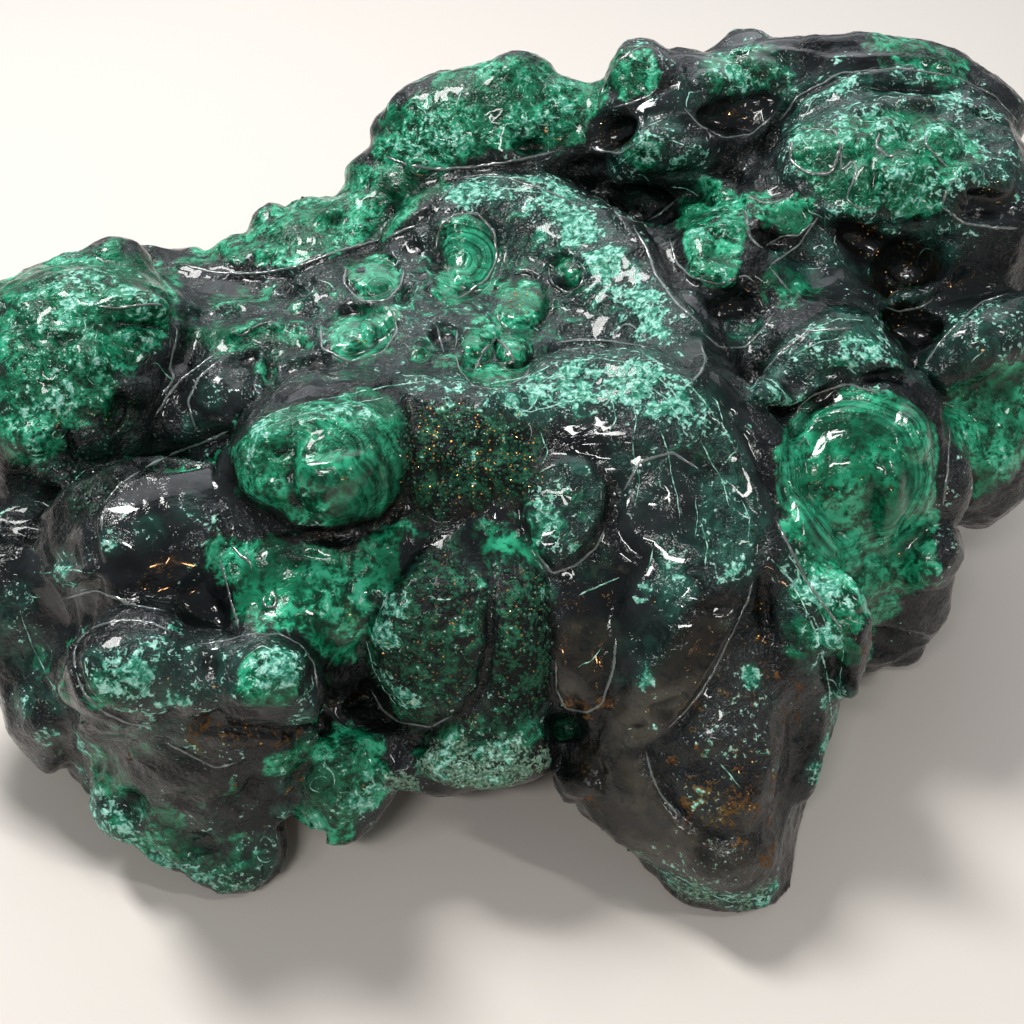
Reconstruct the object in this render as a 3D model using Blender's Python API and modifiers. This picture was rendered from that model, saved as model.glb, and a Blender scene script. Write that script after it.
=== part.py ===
"""Malachite specimen: one natural lump of intergrown botryoidal lobes, about 170 mm across.

The lump is a single solid. It is built the way it grew: rounded lobes that run into each other, hollows between
them, and worn spots underneath on which it rests. Metres, +Z up, origin on the table under the middle of the lump.
"""

import math

import bmesh
import bpy
from mathutils import Euler, Matrix, Vector

MM = 0.001
NAME = "malachite"
LOBE_SUBDIVISIONS = 4
MELT_VOXEL = 1.1 * MM  # size of the grid that runs the lobes into one skin
MELT_PASSES = 3  # how far the creases between lobes are softened
ROUGHNESS_HEIGHT = 2.4 * MM  # uneven growth over each lobe
ROUGHNESS_SIZE = 10 * MM
SKIN_TRIANGLES = 8600
TABLE_CUT = (400 * MM, 400 * MM, 60 * MM)  # block that wears the underside flat

# Each lobe: middle in mm, half sizes in mm, turn about X, Y and Z in degrees.
CORE = {
    "core": ((6, 24, 29), (60, 40, 25), (0, 0, 0)),
    "core_front": ((-8, -6, 31), (38, 24, 18), (12, 0, 0)),
    "core_right": ((45, 38, 32), (34, 36, 28), (0, 0, 0)),
    "core_left": ((-46, 24, 27), (28, 28, 23), (0, 0, 0)),
    "core_back": ((2, 54, 28), (46, 27, 26), (0, 0, 0)),
    "heel_right": ((38, 48, 12), (27, 21, 15), (0, 0, 0)),
    "heel_left": ((-27, 42, 12), (20, 17, 15), (0, 0, 0)),
}
LEFT_SIDE = {
    "left_boulder": ((-64, 15, 38), (22.5, 22, 22), (0, 0, 0)),
    "left_boulder_top": ((-63, 22, 48), (13, 12, 11), (0, 0, 20)),
    "left_boulder_brow": ((-72, 5, 45), (11, 10, 10), (0, 15, 0)),
    "left_boulder_outer": ((-78, 22, 30), (10, 14, 13), (0, 0, 0)),
    "left_boulder_heel": ((-62, 34, 22), (13, 12, 14), (0, 0, 0)),
    "left_shoulder": ((-47, -17, 37), (17, 12.5, 12.5), (0, 0, -12)),
    "left_flank": ((-70, -14, 26), (15, 12, 13), (0, 0, 0)),
    "left_flank_low": ((-62, -25, 14), (9, 9, 13), (0, -15, 0)),
    "left_web": ((-50, -27, 22), (12, 10, 15), (0, 0, 0)),
    "left_web_upper": ((-44, -26, 33), (13, 8, 9), (0, 0, 0)),
    "left_back_slope": ((-28, 45, 43), (21, 17, 11.5), (0, 0, 25)),
    "left_back_bump": ((-46, 36, 40), (12, 12, 10), (0, 0, 0)),
    "left_saddle": ((-54, 37, 41), (11, 13, 9), (0, 0, 0)),
    "left_back_knob": ((-24, 56, 55), (4.5, 4.5, 4.5), (0, 0, 0)),
}
LEFT_FOOT = {
    "roll_left": ((-46, -38, 39), (9.5, 7.5, 7.2), (0, 0, 10)),
    "roll_neck": ((-38, -38, 38.5), (9, 6, 5.5), (0, 0, 0)),
    "roll_right": ((-29.5, -38, 37.5), (8, 7, 7), (0, 0, -10)),
    "foot_block": ((-41, -36, 24), (15.5, 9, 14), (8, 0, 0)),
    "foot_left_corner": ((-51.5, -37, 10), (8, 8, 11), (0, -20, 0)),
    "foot_tip": ((-38, -43, 5), (9.5, 7, 8), (0, 0, 0)),
    "foot_back": ((-36, -26, 16), (15, 14, 16), (0, 0, 0)),
    "foot_side": ((-23, -34, 15), (10.5, 9, 10), (0, 25, 0)),
}
FRONT_FACE = {
    "velvet_lobe_left": ((-10.5, -27, 32), (9.5, 8, 13), (10, 0, 6)),
    "velvet_lobe_right": ((1.5, -27, 32.5), (6.5, 8, 13), (10, 0, 0)),
    "front_hem": ((-3, -33, 20), (12, 8, 8.5), (0, -8, 0)),
    "front_hem_left": ((-14, -30, 18), (9, 8, 8), (0, 0, 0)),
    "green_slope": ((-27, -23, 37), (12, 10, 12), (0, 0, 0)),
    "banded_nodule": ((-25, -12, 49), (11.5, 8, 8.5), (0, 0, 8)),
    "banded_crown": ((-25, -6, 53), (13, 8, 5), (0, -12, 12)),
    "velvet_face": ((-5, -7, 44), (12, 12, 12), (0, 0, 0)),
    "rim_middle": ((-4, -1, 52), (13, 7, 6), (0, 0, 0)),
    "rim_left": ((-14, -3, 53), (9, 5.5, 4.5), (0, 8, -8)),
    "nodule_bump": ((-31, -15, 47), (5, 5, 6), (0, 0, 0)),
}
DOME = {
    "dome": ((19, -4, 44), (18.5, 16, 15.5), (0, 0, -10)),
    "dome_left": ((8, -4, 48), (11, 10, 9), (0, 0, 0)),
    "dome_right": ((30, -8, 40), (10, 11, 14), (0, 0, 0)),
    "heart_flake": ((8, -19, 43), (6, 4.5, 7), (20, 0, 0)),
}
RIGHT_LEG = {
    "leg_top": ((24, -22, 35), (13, 10, 14), (0, 0, 0)),
    "leg_rib": ((18, -30, 25), (8.5, 8, 14), (0, 18, 0)),
    "leg_low_left": ((15.5, -37, 11), (8.5, 8.5, 10), (0, 0, 0)),
    "leg_tongue": ((29, -37, 16), (13, 11, 18), (6, -6, 0)),
    "leg_tip": ((30, -44.5, 6), (11, 8, 8), (0, 0, 0)),
    "leg_back": ((26, -24, 16), (14, 14, 16), (0, 0, 0)),
    "leg_edge": ((40.5, -26, 28), (6.5, 9, 15), (0, 8, 0)),
    "leg_edge_top": ((36, -18, 38), (7, 8, 9), (0, 0, 0)),
}
RIGHT_SIDE = {
    "glassy_lobe": ((50.5, 1, 36), (13.5, 12, 15), (0, 0, 0)),
    "glassy_lobe_low": ((57, -7, 22), (8.5, 9, 14), (0, -6, 0)),
    "glassy_hem": ((53, -6, 13), (9, 8, 8), (0, 0, 0)),
    "glassy_root": ((43, -12, 22), (9, 9, 13), (0, 0, 0)),
    "glassy_knob": ((60, 4, 38), (6, 6, 7), (0, 0, 0)),
    "brow": ((45, 13, 48), (13.5, 9, 9.5), (0, 0, 18)),
    "right_ridge": ((70, 17, 47), (14, 8, 8), (0, -8, 14)),
    "right_flank": ((72, 14, 31), (11, 12, 14), (0, 0, 0)),
    "right_flank_back": ((74, 38, 34), (14, 20, 18), (0, 0, 0)),
    "right_flank_foot": ((68, 44, 18), (13, 14, 13), (0, 0, 0)),
    "right_outcrop": ((80, 28, 42), (8, 8, 7), (0, 0, 0)),
}
TOP = {
    "top_left": ((-38, 15, 42), (18, 18, 11), (0, 0, 0)),
    "top_middle": ((-15, 14, 44), (19, 18, 12), (0, 0, 0)),
    "top_ledge": ((-30, 4, 47), (10, 7, 6.5), (0, 0, 20)),
    "top_valley_edge": ((-26, 27, 49), (13, 7, 6), (0, 0, 28)),
    "arch_start": ((-10, 38, 53), (9, 9, 8), (0, 0, 0)),
    "arch_crown": ((3, 41, 53), (12, 9, 9), (0, 0, 0)),
    "arch_shoulder": ((15, 30, 53), (9, 12, 8.5), (0, 0, 20)),
    "arch_end": ((23, 12, 51), (8, 13, 8.5), (0, 0, 15)),
    "rosette": ((33, 29, 50), (15, 16, 12), (0, 0, 0)),
    "big_dome": ((63, 44, 54), (24, 22, 18), (0, 0, 0)),
    "back_ridge": ((56, 62, 63), (29, 14, 13), (0, 0, -6)),
    "back_saddle": ((27, 58, 60), (17, 15, 15), (0, 0, 0)),
    "back_knob": ((21, 60, 72.5), (5.2, 5.2, 4.6), (0, 0, 0)),
    "back_ledge": ((38, 66, 69), (8, 7, 5.5), (0, 0, 12)),
    "back_shelf": ((70, 68, 52), (15, 9, 12), (0, 0, -20)),
    "back_boulder": ((-3, 63, 52), (21, 18, 18), (0, 0, 0)),
    "back_boulder_left": ((-17, 56, 50), (11, 11, 13), (0, 0, 0)),
    "back_boulder_right": ((10, 61, 60), (9, 10, 9), (0, 0, 0)),
}
# The back slopes down in a row of plainer lobes to the heels.
BACK = {
    "back_wall": ((52, 67, 44), (29, 13, 22), (14, 0, -6)),
    "back_lobe_low": ((46, 76, 25), (18, 10, 15), (0, 0, 10)),
    "back_lobe_middle": ((12, 75, 30), (17, 12, 18), (0, 0, 0)),
    "back_lobe_fold": ((-12, 74, 33), (12, 9, 15), (0, 12, 0)),
    "back_lobe_left": ((-36, 62, 28), (16, 13, 15), (0, 0, -20)),
    "back_corner_left": ((-56, 42, 28), (14, 13, 15), (0, 0, 30)),
    "back_corner_right": ((74, 58, 34), (15, 13, 18), (0, 0, 0)),
    "back_bead": ((28, 79, 41), (8, 7, 9), (0, 0, 0)),
    "back_bead_low": ((-24, 71, 17), (10, 8, 9), (0, 0, 0)),
}
# Hollows are cut the same way: the recess beside the left foot, the hole over the leg's heel, and the sunken bowls.
HOLLOWS = {
    "roll_recess": ((-19, -35, 27), (4.5, 7, 8), (0, 10, 0)),
    "leg_hole": ((8, -37, 24), (4.5, 7, 6), (0, 0, 0)),
    "under_nodule": ((-22, -22, 41), (9, 4, 2), (0, 0, 6)),
    "behind_roll": ((-38, -29, 46), (11, 3.5, 4), (0, 0, 0)),
    "deep_cavity": ((57, 25, 60), (8, 8, 9), (0, 0, 0)),
    "cavity_under_brow": ((56, 15, 52), (5, 4, 5), (0, 0, 0)),
    "bowl_of_dome": ((64, 36, 75), (17, 12, 8), (0, 0, 0)),
}


def clear_scene():
    for old in list(bpy.data.objects):
        bpy.data.objects.remove(old)


def collection(name):
    made = bpy.data.collections.new(name)
    bpy.context.scene.collection.children.link(made)
    return made


def add_ellipsoid(mesh, middle, half_sizes, turn):
    place = Matrix.Translation(Vector(middle) * MM)
    place @= Euler([math.radians(angle) for angle in turn]).to_matrix().to_4x4()
    place @= Matrix.Diagonal((*(Vector(half_sizes) * MM), 1))
    bmesh.ops.create_icosphere(mesh, subdivisions=LOBE_SUBDIVISIONS, radius=1, matrix=place)


def ellipsoids(name, shapes, holder):
    """One object that holds an ellipsoid for each entry of shapes."""
    mesh = bmesh.new()
    for middle, half_sizes, turn in shapes.values():
        add_ellipsoid(mesh, middle, half_sizes, turn)
    data = bpy.data.meshes.new(name)
    mesh.to_mesh(data)
    mesh.free()
    made = bpy.data.objects.new(name, data)
    holder.objects.link(made)
    return made


def cutter(made):
    made.hide_render = True
    made.display_type = "WIRE"
    return made


def melt(lump, label):
    """Runs overlapping shapes into one skin, and softens the creases between them."""
    skin = lump.modifiers.new(label + "_skin", "REMESH")
    skin.mode = "VOXEL"
    skin.voxel_size = MELT_VOXEL
    soften = lump.modifiers.new(label + "_soften", "SMOOTH")
    soften.iterations = MELT_PASSES


def cut(lump, tool):
    made = lump.modifiers.new("cut_" + tool.name, "BOOLEAN")
    made.operation = "DIFFERENCE"
    made.object = tool


def roughen(lump):
    clouds = bpy.data.textures.new("uneven_growth", "CLOUDS")
    clouds.noise_scale = ROUGHNESS_SIZE
    clouds.noise_depth = 2
    rough = lump.modifiers.new("uneven_growth", "DISPLACE")
    rough.texture = clouds
    rough.texture_coords = "LOCAL"
    rough.strength = ROUGHNESS_HEIGHT
    rough.mid_level = 0.5


def apply_modifiers(lump):
    graph = bpy.context.evaluated_depsgraph_get()
    made = bpy.data.meshes.new_from_object(lump.evaluated_get(graph))
    lump.modifiers.clear()
    lump.data = made


def thin_out(lump):
    """Fewer, larger triangles where the skin is plain."""
    lump.data.calc_loop_triangles()
    thin = lump.modifiers.new("thin_out", "DECIMATE")
    thin.ratio = SKIN_TRIANGLES / len(lump.data.loop_triangles)


def wear_flat(lump, holder):
    """The feet and the back are worn flat where they rest on the table."""
    data = bpy.data.meshes.new("table_block")
    mesh = bmesh.new()
    middle = Matrix.Translation((0, 0, -TABLE_CUT[2] / 2))
    bmesh.ops.create_cube(mesh, size=1, matrix=middle @ Matrix.Diagonal((*TABLE_CUT, 1)))
    mesh.to_mesh(data)
    mesh.free()
    block = bpy.data.objects.new("table_block", data)
    holder.objects.link(block)
    cut(lump, cutter(block))


def centre_on_table(lump):
    """Puts the middle of the lump's box over the origin, and says how far it moved."""
    corners = [vertex.co for vertex in lump.data.vertices]
    low = Vector([min(corner[axis] for corner in corners) for axis in range(3)])
    high = Vector([max(corner[axis] for corner in corners) for axis in range(3)])
    shift = -Vector(((low.x + high.x) / 2, (low.y + high.y) / 2, low.z))
    lump.data.transform(Matrix.Translation(shift))
    return shift


def malachite_finish():
    finish = bpy.data.materials.new("wet_malachite")
    finish.use_nodes = True
    shader = finish.node_tree.nodes["Principled BSDF"]
    shader.inputs["Base Color"].default_value = (0.012, 0.085, 0.05, 1)
    shader.inputs["Roughness"].default_value = 0.18
    shader.inputs["Metallic"].default_value = 0
    return finish


clear_scene()
specimen = collection("malachite_specimen")
tools = collection("cutters")
lobes = {**CORE, **LEFT_SIDE, **LEFT_FOOT, **FRONT_FACE, **DOME, **RIGHT_LEG, **RIGHT_SIDE, **TOP, **BACK}
malachite = ellipsoids(NAME, lobes, specimen)
hollows = cutter(ellipsoids("hollows", HOLLOWS, tools))
melt(malachite, "lobes")
cut(malachite, hollows)
melt(malachite, "hollows")
roughen(malachite)
apply_modifiers(malachite)
thin_out(malachite)
wear_flat(malachite, tools)
apply_modifiers(malachite)
moved = centre_on_table(malachite)
malachite.data.materials.clear()
malachite.data.materials.append(malachite_finish())
malachite.data.shade_smooth()
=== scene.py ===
import math

import bmesh
import bpy
import numpy as np
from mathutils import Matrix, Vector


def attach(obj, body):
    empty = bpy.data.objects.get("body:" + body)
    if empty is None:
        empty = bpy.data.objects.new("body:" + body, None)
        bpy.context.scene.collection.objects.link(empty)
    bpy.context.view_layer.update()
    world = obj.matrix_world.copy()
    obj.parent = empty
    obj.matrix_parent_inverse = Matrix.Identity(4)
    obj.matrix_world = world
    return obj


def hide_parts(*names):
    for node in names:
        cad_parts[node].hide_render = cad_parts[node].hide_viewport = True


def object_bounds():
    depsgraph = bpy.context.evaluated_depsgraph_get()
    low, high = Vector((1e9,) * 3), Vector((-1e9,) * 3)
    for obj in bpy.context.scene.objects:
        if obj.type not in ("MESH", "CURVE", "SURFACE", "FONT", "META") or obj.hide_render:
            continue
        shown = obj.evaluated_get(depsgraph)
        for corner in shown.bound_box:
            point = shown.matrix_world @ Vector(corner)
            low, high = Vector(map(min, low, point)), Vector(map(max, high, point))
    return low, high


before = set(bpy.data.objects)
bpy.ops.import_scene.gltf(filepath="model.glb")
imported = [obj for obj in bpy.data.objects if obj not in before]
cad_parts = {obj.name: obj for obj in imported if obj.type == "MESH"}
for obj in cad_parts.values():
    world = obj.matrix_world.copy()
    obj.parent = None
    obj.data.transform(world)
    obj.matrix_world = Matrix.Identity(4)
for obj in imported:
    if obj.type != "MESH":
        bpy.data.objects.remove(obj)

import openvdb
from mathutils import Vector

CAD_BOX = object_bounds()

# -----------------------------------------------------------------------------------------------------------
# The lump: one piece of malachite that grew lobe on lobe. Its solid becomes a field of distances to the
# skin, in which lobes grow, hollows are dissolved and seams are drawn, as the mineral did it. Each feature
# is placed by the pixel of the render that it is seen at, on whatever skin lies there.
MM = 0.001
PICTURE = 1024
FOCAL, SENSOR = 45.0, 36.0
PIXELS_PER_UNIT = FOCAL / SENSOR * PICTURE
TILT = math.radians(42)  # how steeply the camera looks down
CENTRED_BY = np.array([-0.59, -17.26, 0.0])  # how far the solid moved when it was centred on the table, mm
EYE = np.array([0.0, -141.2, 157.1]) + CENTRED_BY
RIGHT = np.array([1.0, 0.0, 0.0])
FORWARD = np.array([0.0, math.cos(TILT), -math.sin(TILT)])
UP = np.array([0.0, math.sin(TILT), math.cos(TILT)])
VOXEL = 0.6
BAND_VOXELS = 11
MARGIN = 5.0
SOFTEN_FACETS = 2
TINY = 1e-6  # keeps a length off 0 before it divides
NEAREST_AHEAD, FARTHEST_AHEAD, FOLLOW_STEPS = 90.0, 330.0, 110


def ways_through(across, down):
    """Directions from the camera through pixels of the render, one mm ahead."""
    across, down = np.asarray(across)[..., None], np.asarray(down)[..., None]
    ways = FORWARD + RIGHT * (across - PICTURE / 2) / PIXELS_PER_UNIT
    return ways + UP * (PICTURE / 2 - down) / PIXELS_PER_UNIT


def sight_line(u, v):
    way = ways_through(u, v)
    return way / np.linalg.norm(way)


solid = bmesh.new()
solid.from_mesh(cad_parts["malachite"].data)
bmesh.ops.remove_doubles(solid, verts=solid.verts, dist=1e-6)
bmesh.ops.triangulate(solid, faces=solid.faces)
corners = np.array([vertex.co[:] for vertex in solid.verts]) / MM
triangles = np.array([[vertex.index for vertex in face.verts] for face in solid.faces], np.uint32)
solid.free()
BAND = BAND_VOXELS * VOXEL
FIRST = np.floor((corners.min(axis=0) - MARGIN) / VOXEL).astype(int)
SIZE = np.ceil((corners.max(axis=0) + MARGIN) / VOXEL).astype(int) - FIRST
LOW = FIRST * VOXEL
level_set = openvdb.FloatGrid.createLevelSetFromPolygons(
    corners.astype(np.float32),
    triangles=triangles,
    transform=openvdb.createLinearTransform(voxelSize=VOXEL),
    halfWidth=BAND_VOXELS,
)
field = np.empty(SIZE, np.float32)
level_set.copyToArray(field, ijk=tuple(int(step) for step in FIRST))


def blurred(values, passes):
    for _ in range(passes):
        for axis in range(values.ndim):
            turned = np.moveaxis(values, axis, 0)
            out = turned.copy()
            out[1:-1] = 0.5 * turned[1:-1] + 0.25 * (turned[:-2] + turned[2:])
            values = np.moveaxis(out, 0, axis)
    return np.ascontiguousarray(values)


field = blurred(field, SOFTEN_FACETS)


def sample(values, points):
    """Trilinear values of a field at points in mm."""
    at = (points - LOW) / VOXEL
    base = np.clip(np.floor(at).astype(int), 0, SIZE - 2)
    part = np.clip(at - base, 0, 1)
    i, j, k = base.T
    x, y, z = part.T
    near = values[i, j, k] * (1 - x) + values[i + 1, j, k] * x
    far = values[i, j + 1, k] * (1 - x) + values[i + 1, j + 1, k] * x
    near_up = values[i, j, k + 1] * (1 - x) + values[i + 1, j, k + 1] * x
    far_up = values[i, j + 1, k + 1] * (1 - x) + values[i + 1, j + 1, k + 1] * x
    return (near * (1 - y) + far * y) * (1 - z) + (near_up * (1 - y) + far_up * y) * z


def first_skin(start, way):
    """Where a line first meets the skin, or None."""
    along = np.arange(0, FARTHEST_AHEAD, VOXEL / 2)
    points = start + along[:, None] * way
    inside = np.all((points > LOW) & (points < LOW + (SIZE - 1) * VOXEL), axis=1)
    values = np.where(inside, sample(field, points), BAND)
    hits = np.nonzero(values < 0)[0]
    if not len(hits):
        return None
    hit = hits[0]
    if hit == 0:
        return points[0]
    share = values[hit - 1] / (values[hit - 1] - values[hit])
    return points[hit - 1] + (points[hit] - points[hit - 1]) * share


def seen(u, v):
    """The point of the skin at a pixel of the render, and how many mm a pixel is there."""
    point = first_skin(EYE, sight_line(u, v))
    if point is None:
        return None, 0.0
    return point, float((point - EYE) @ FORWARD) / PIXELS_PER_UNIT


NORMAL_STEP, FINE_NORMAL_STEP = 1.2, 0.8  # how far apart the field is read for a normal, mm


def skin_normal(point):
    step = NORMAL_STEP * np.eye(3)
    slope = sample(field, point + step) - sample(field, point - step)
    return slope / max(np.linalg.norm(slope), TINY)


def window(low, high):
    """The part of the field between two corners, and the coordinates of its points."""
    start = np.clip(np.floor((low - LOW) / VOXEL).astype(int), 0, SIZE - 1)
    stop = np.clip(np.ceil((high - LOW) / VOXEL).astype(int) + 1, start + 1, SIZE)
    part = tuple(slice(a, b) for a, b in zip(start, stop))
    axes = [LOW[axis] + VOXEL * np.arange(start[axis], stop[axis]) for axis in range(3)]
    return part, np.stack(np.meshgrid(*axes, indexing="ij"), axis=-1)


def run_together(a, b, blend):
    mix = np.clip(0.5 + 0.5 * (b - a) / blend, 0, 1)
    return b * (1 - mix) + a * mix - blend * mix * (1 - mix)


def ellipsoid_distance(points, middle, axes, radii):
    local = (points - middle) @ axes.T
    scaled = np.sqrt(((local / radii) ** 2).sum(axis=-1))
    steep = np.sqrt(((local / radii**2) ** 2).sum(axis=-1))
    return scaled * (scaled - 1) / np.maximum(steep, TINY)


def turned_axes(turn):
    angle = math.radians(turn)
    return np.array([
        RIGHT * math.cos(angle) + UP * math.sin(angle),
        -RIGHT * math.sin(angle) + UP * math.cos(angle),
        FORWARD,
    ])


SHARPEST, SOFTEST = 0.5, 6.0  # how wide a lobe may run into the skin, mm


def add_lobe(sign, share, spot, radii, lift, turn=0):
    """Runs an ellipsoid into the lump, or out of it where sign is -1."""
    point, scale = seen(*spot)
    if point is None:
        return
    middle = point + skin_normal(point) * lift * scale
    sizes = np.array(radii, float) * scale
    blend = float(np.clip(share * sizes.min(), SHARPEST, SOFTEST))
    reach = sizes.max() + blend
    part, points = window(middle - reach, middle + reach)
    distance = ellipsoid_distance(points, middle, turned_axes(turn), sizes)
    field[part] = sign * run_together(sign * field[part], distance, blend)


def grow(lobes, share):
    """Grows ellipsoids, given as a pixel, half sizes in pixels, lift out of the skin in pixels, and turn."""
    for lobe in lobes.values():
        add_lobe(1, share, *lobe)


def dissolve(hollows, share):
    for hollow in hollows.values():
        add_lobe(-1, share, *hollow)


def ease(dabs, passes):
    """Rubs the skin smooth round pixels, each with its radius in pixels."""
    for spot, radius in dabs:
        middle, scale = seen(*spot)
        if middle is None:
            continue
        reach = radius * scale
        part, points = window(middle - reach, middle + reach)
        share = np.clip(1.6 - 1.6 * np.linalg.norm(points - middle, axis=-1) / reach, 0, 1)
        field[part] += share * (blurred(field[part], passes) - field[part])


def pixels_of(points):
    """Where the camera sees points in mm: across, down, and how far ahead."""
    away = points - EYE
    ahead = away @ FORWARD
    across = PICTURE / 2 + PIXELS_PER_UNIT * (away @ RIGHT) / ahead
    down = PICTURE / 2 - PIXELS_PER_UNIT * (away @ UP) / ahead
    return across, down, ahead


def depth_inside(outline, across, down):
    """How many pixels each place lies inside an outline, below 0 outside it."""
    nearest = np.full(across.shape, 1e9)
    inside = np.zeros(across.shape, bool)
    for (u, v), (u_next, v_next) in zip(outline, outline[1:] + outline[:1]):
        run_u, run_v = u_next - u, v_next - v
        share = np.clip(((across - u) * run_u + (down - v) * run_v) / (run_u**2 + run_v**2), 0, 1)
        nearest = np.minimum(nearest, np.hypot(across - u - share * run_u, down - v - share * run_v))
        crossed = ((v > down) != (v_next > down)) & (across < u + (down - v) * run_u / (run_v or 1e-9))
        inside ^= crossed
    return np.where(inside, nearest, -nearest)


def step_up(value, low, high):
    part = np.clip((value - low) / (high - low), 0, 1)
    return part * part * (3 - 2 * part)


PATCH_DEPTH, PATCH_MARGIN = 30, 4  # an outline's corners keep to one surface this deep, mm


def patch(outline, height, edge=6.0, crown=0.0):
    """Raises what an outline holds by a height in mm, or presses it, with an edge some pixels wide.

    The crown is how much more the middle rises.
    """
    spots = np.array(outline, float)
    points = [seen(*spot)[0] for spot in [*spots, spots.mean(axis=0)]]
    points = np.array([point for point in points if point is not None])
    middle = np.median(points @ FORWARD)
    kept = points[np.abs(points @ FORWARD - middle) < PATCH_DEPTH]
    part, grid = window(kept.min(axis=0) - PATCH_MARGIN, kept.max(axis=0) + PATCH_MARGIN)
    across, down, _ = pixels_of(grid)
    depth = depth_inside(outline, across, down)
    level = step_up(depth, -edge, edge)
    if crown:
        level = level + crown / height * np.sqrt(np.clip(depth / max(depth.max(), TINY), 0, 1))
    field[part] -= (height * level).astype(np.float32)


def depths_seen(across, down):
    """How far ahead the skin lies at each pixel, followed inwards by the field itself."""
    ways = ways_through(across, down).reshape(-1, 3)
    ahead = np.full(len(ways), NEAREST_AHEAD)
    for _ in range(FOLLOW_STEPS):
        points = EYE + ways * ahead[:, None]
        inside = np.all((points > LOW) & (points < LOW + (SIZE - 1) * VOXEL), axis=1)
        ahead += np.where(inside, np.maximum(sample(field, points), -0.5) * 0.7, 2.0)
    return ahead.reshape(across.shape)


EVEN_DEPTH = 16.0  # nothing deeper than this behind the flowing surface is changed, mm
EVEN_STEP = 5  # pixels between the lines of sight that a flowing surface is worked out on
EVEN_RIM = 12  # how far outside the outline the skin still counts, pixels
EDGE_BLUR = 50
EDGE_SHARES = (0.46, 0.62)  # how much skin has to lie round a pixel for the surface to be changed there


def even_out(outline, spread, edge=20.0):
    """Runs ledges inside an outline together into one flowing surface, as seen by the camera."""
    spots = np.array(outline, float)
    low, high = spots.min(axis=0) - 2 * spread, spots.max(axis=0) + 2 * spread
    columns, rows = np.arange(low[0], high[0], EVEN_STEP), np.arange(low[1], high[1], EVEN_STEP)
    across, down = np.meshgrid(columns, rows, indexing="ij")
    ahead = depths_seen(across, down)
    on_skin = ahead < FARTHEST_AHEAD
    weight = (on_skin & (depth_inside(outline, across, down) > -EVEN_RIM)).astype(float)
    passes = int((spread / EVEN_STEP) ** 2)
    total, weight = blurred(ahead * weight, passes), blurred(weight, passes)
    even = np.where(weight > 1e-4, total / np.maximum(weight, 1e-4), ahead)
    present = blurred(on_skin.astype(float), EDGE_BLUR)
    slopes = np.gradient(even, EVEN_STEP)
    steep = np.sqrt(1 + (slopes[0] ** 2 + slopes[1] ** 2) * (PIXELS_PER_UNIT / even) ** 2)
    inside = (depth_inside(outline, across, down) > 0) & on_skin
    shell = EYE + (even[..., None] * ways_through(across, down))[inside]
    part, grid = window(shell.min(axis=0) - 5, shell.max(axis=0) + 5)
    u, v, far = pixels_of(grid)
    column = np.clip((u - columns[0]) / EVEN_STEP, 0, len(columns) - 1.001)
    row = np.clip((v - rows[0]) / EVEN_STEP, 0, len(rows) - 1.001)
    i, j = column.astype(int), row.astype(int)
    x, y = column - i, row - j

    def looked_up(values):
        near = values[i, j] * (1 - x) + values[i + 1, j] * x
        return near * (1 - y) + (values[i, j + 1] * (1 - x) + values[i + 1, j + 1] * x) * y

    goal = looked_up(even)
    flowing = np.clip((goal - far) / looked_up(steep), -BAND, BAND)
    hold = step_up(depth_inside(outline, u, v), -edge / 2, edge / 2)
    hold = hold * step_up(looked_up(present), *EDGE_SHARES)
    hold = hold * np.clip((goal + EVEN_DEPTH - far) / 4, 0, 1)
    field[part] += (hold * (flowing - field[part])).astype(np.float32)


def add_mark(spot, radii, height, turn=0, square=1.0):
    point, scale = seen(*spot)
    if point is None:
        return
    sizes = np.array(radii) * scale
    reach = 1.4 * sizes.max() + 1.5
    part, grid = window(point - reach, point + reach)
    local = (grid - point) @ turned_axes(turn).T
    away = np.hypot(local[..., 0] / sizes[0], local[..., 1] / sizes[1])
    round_top = np.clip(1 - away**2, 0, 1) ** (0.5 + 1.0 * (1 - square))
    near = np.clip(3.0 - 2.2 * np.abs(local[..., 2]) / reach, 0, 1)
    field[part] -= (height * round_top * near).astype(np.float32)


def mould(marks):
    """Raises or presses ovals: pixel, half sizes in pixels, height in mm, turn, how square the side is."""
    for mark in marks.values():
        add_mark(*mark)


LINE_STEP = 7  # pixels between the points of the skin that a drawn line runs through


def along_skin(path):
    """Points of the skin under a line of pixels."""
    spots = np.array(path, float)
    found = []
    for a, b in zip(spots[:-1], spots[1:]):
        steps = max(1, int(np.linalg.norm(b - a) / LINE_STEP))
        found += [a + (b - a) * step / steps for step in range(steps)]
    found.append(spots[-1])
    points = [seen(*spot)[0] for spot in found]
    return np.array([point for point in points if point is not None])


JUMP = 4.0  # a line breaks off where it would jump to a deeper part of the skin, mm


def path_distance(points, path):
    best = np.full(points.shape[:-1], 1e9)
    for a, b in zip(path[:-1], path[1:]):
        run = b - a
        length = max(float(run @ run), TINY)
        if length > JUMP**2:
            continue
        share = np.clip(((points - a) @ run) / length, 0, 1)
        best = np.minimum(best, np.linalg.norm(points - a - share[..., None] * run, axis=-1))
    return best


def draw(lines, width, height, sharp=False):
    """Raises the skin along lines of pixels, or cuts it where height is below 0. Width and height in mm."""
    for path in lines.values():
        points = along_skin(path)
        if len(points) < 2:
            continue
        part, grid = window(points.min(axis=0) - width * 2, points.max(axis=0) + width * 2)
        distance = path_distance(grid, points) / width
        profile = np.maximum(0, 1 - distance) ** 1.3 if sharp else np.exp(-(distance**2) * 2.2)
        field[part] -= (height * profile).astype(np.float32)


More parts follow.
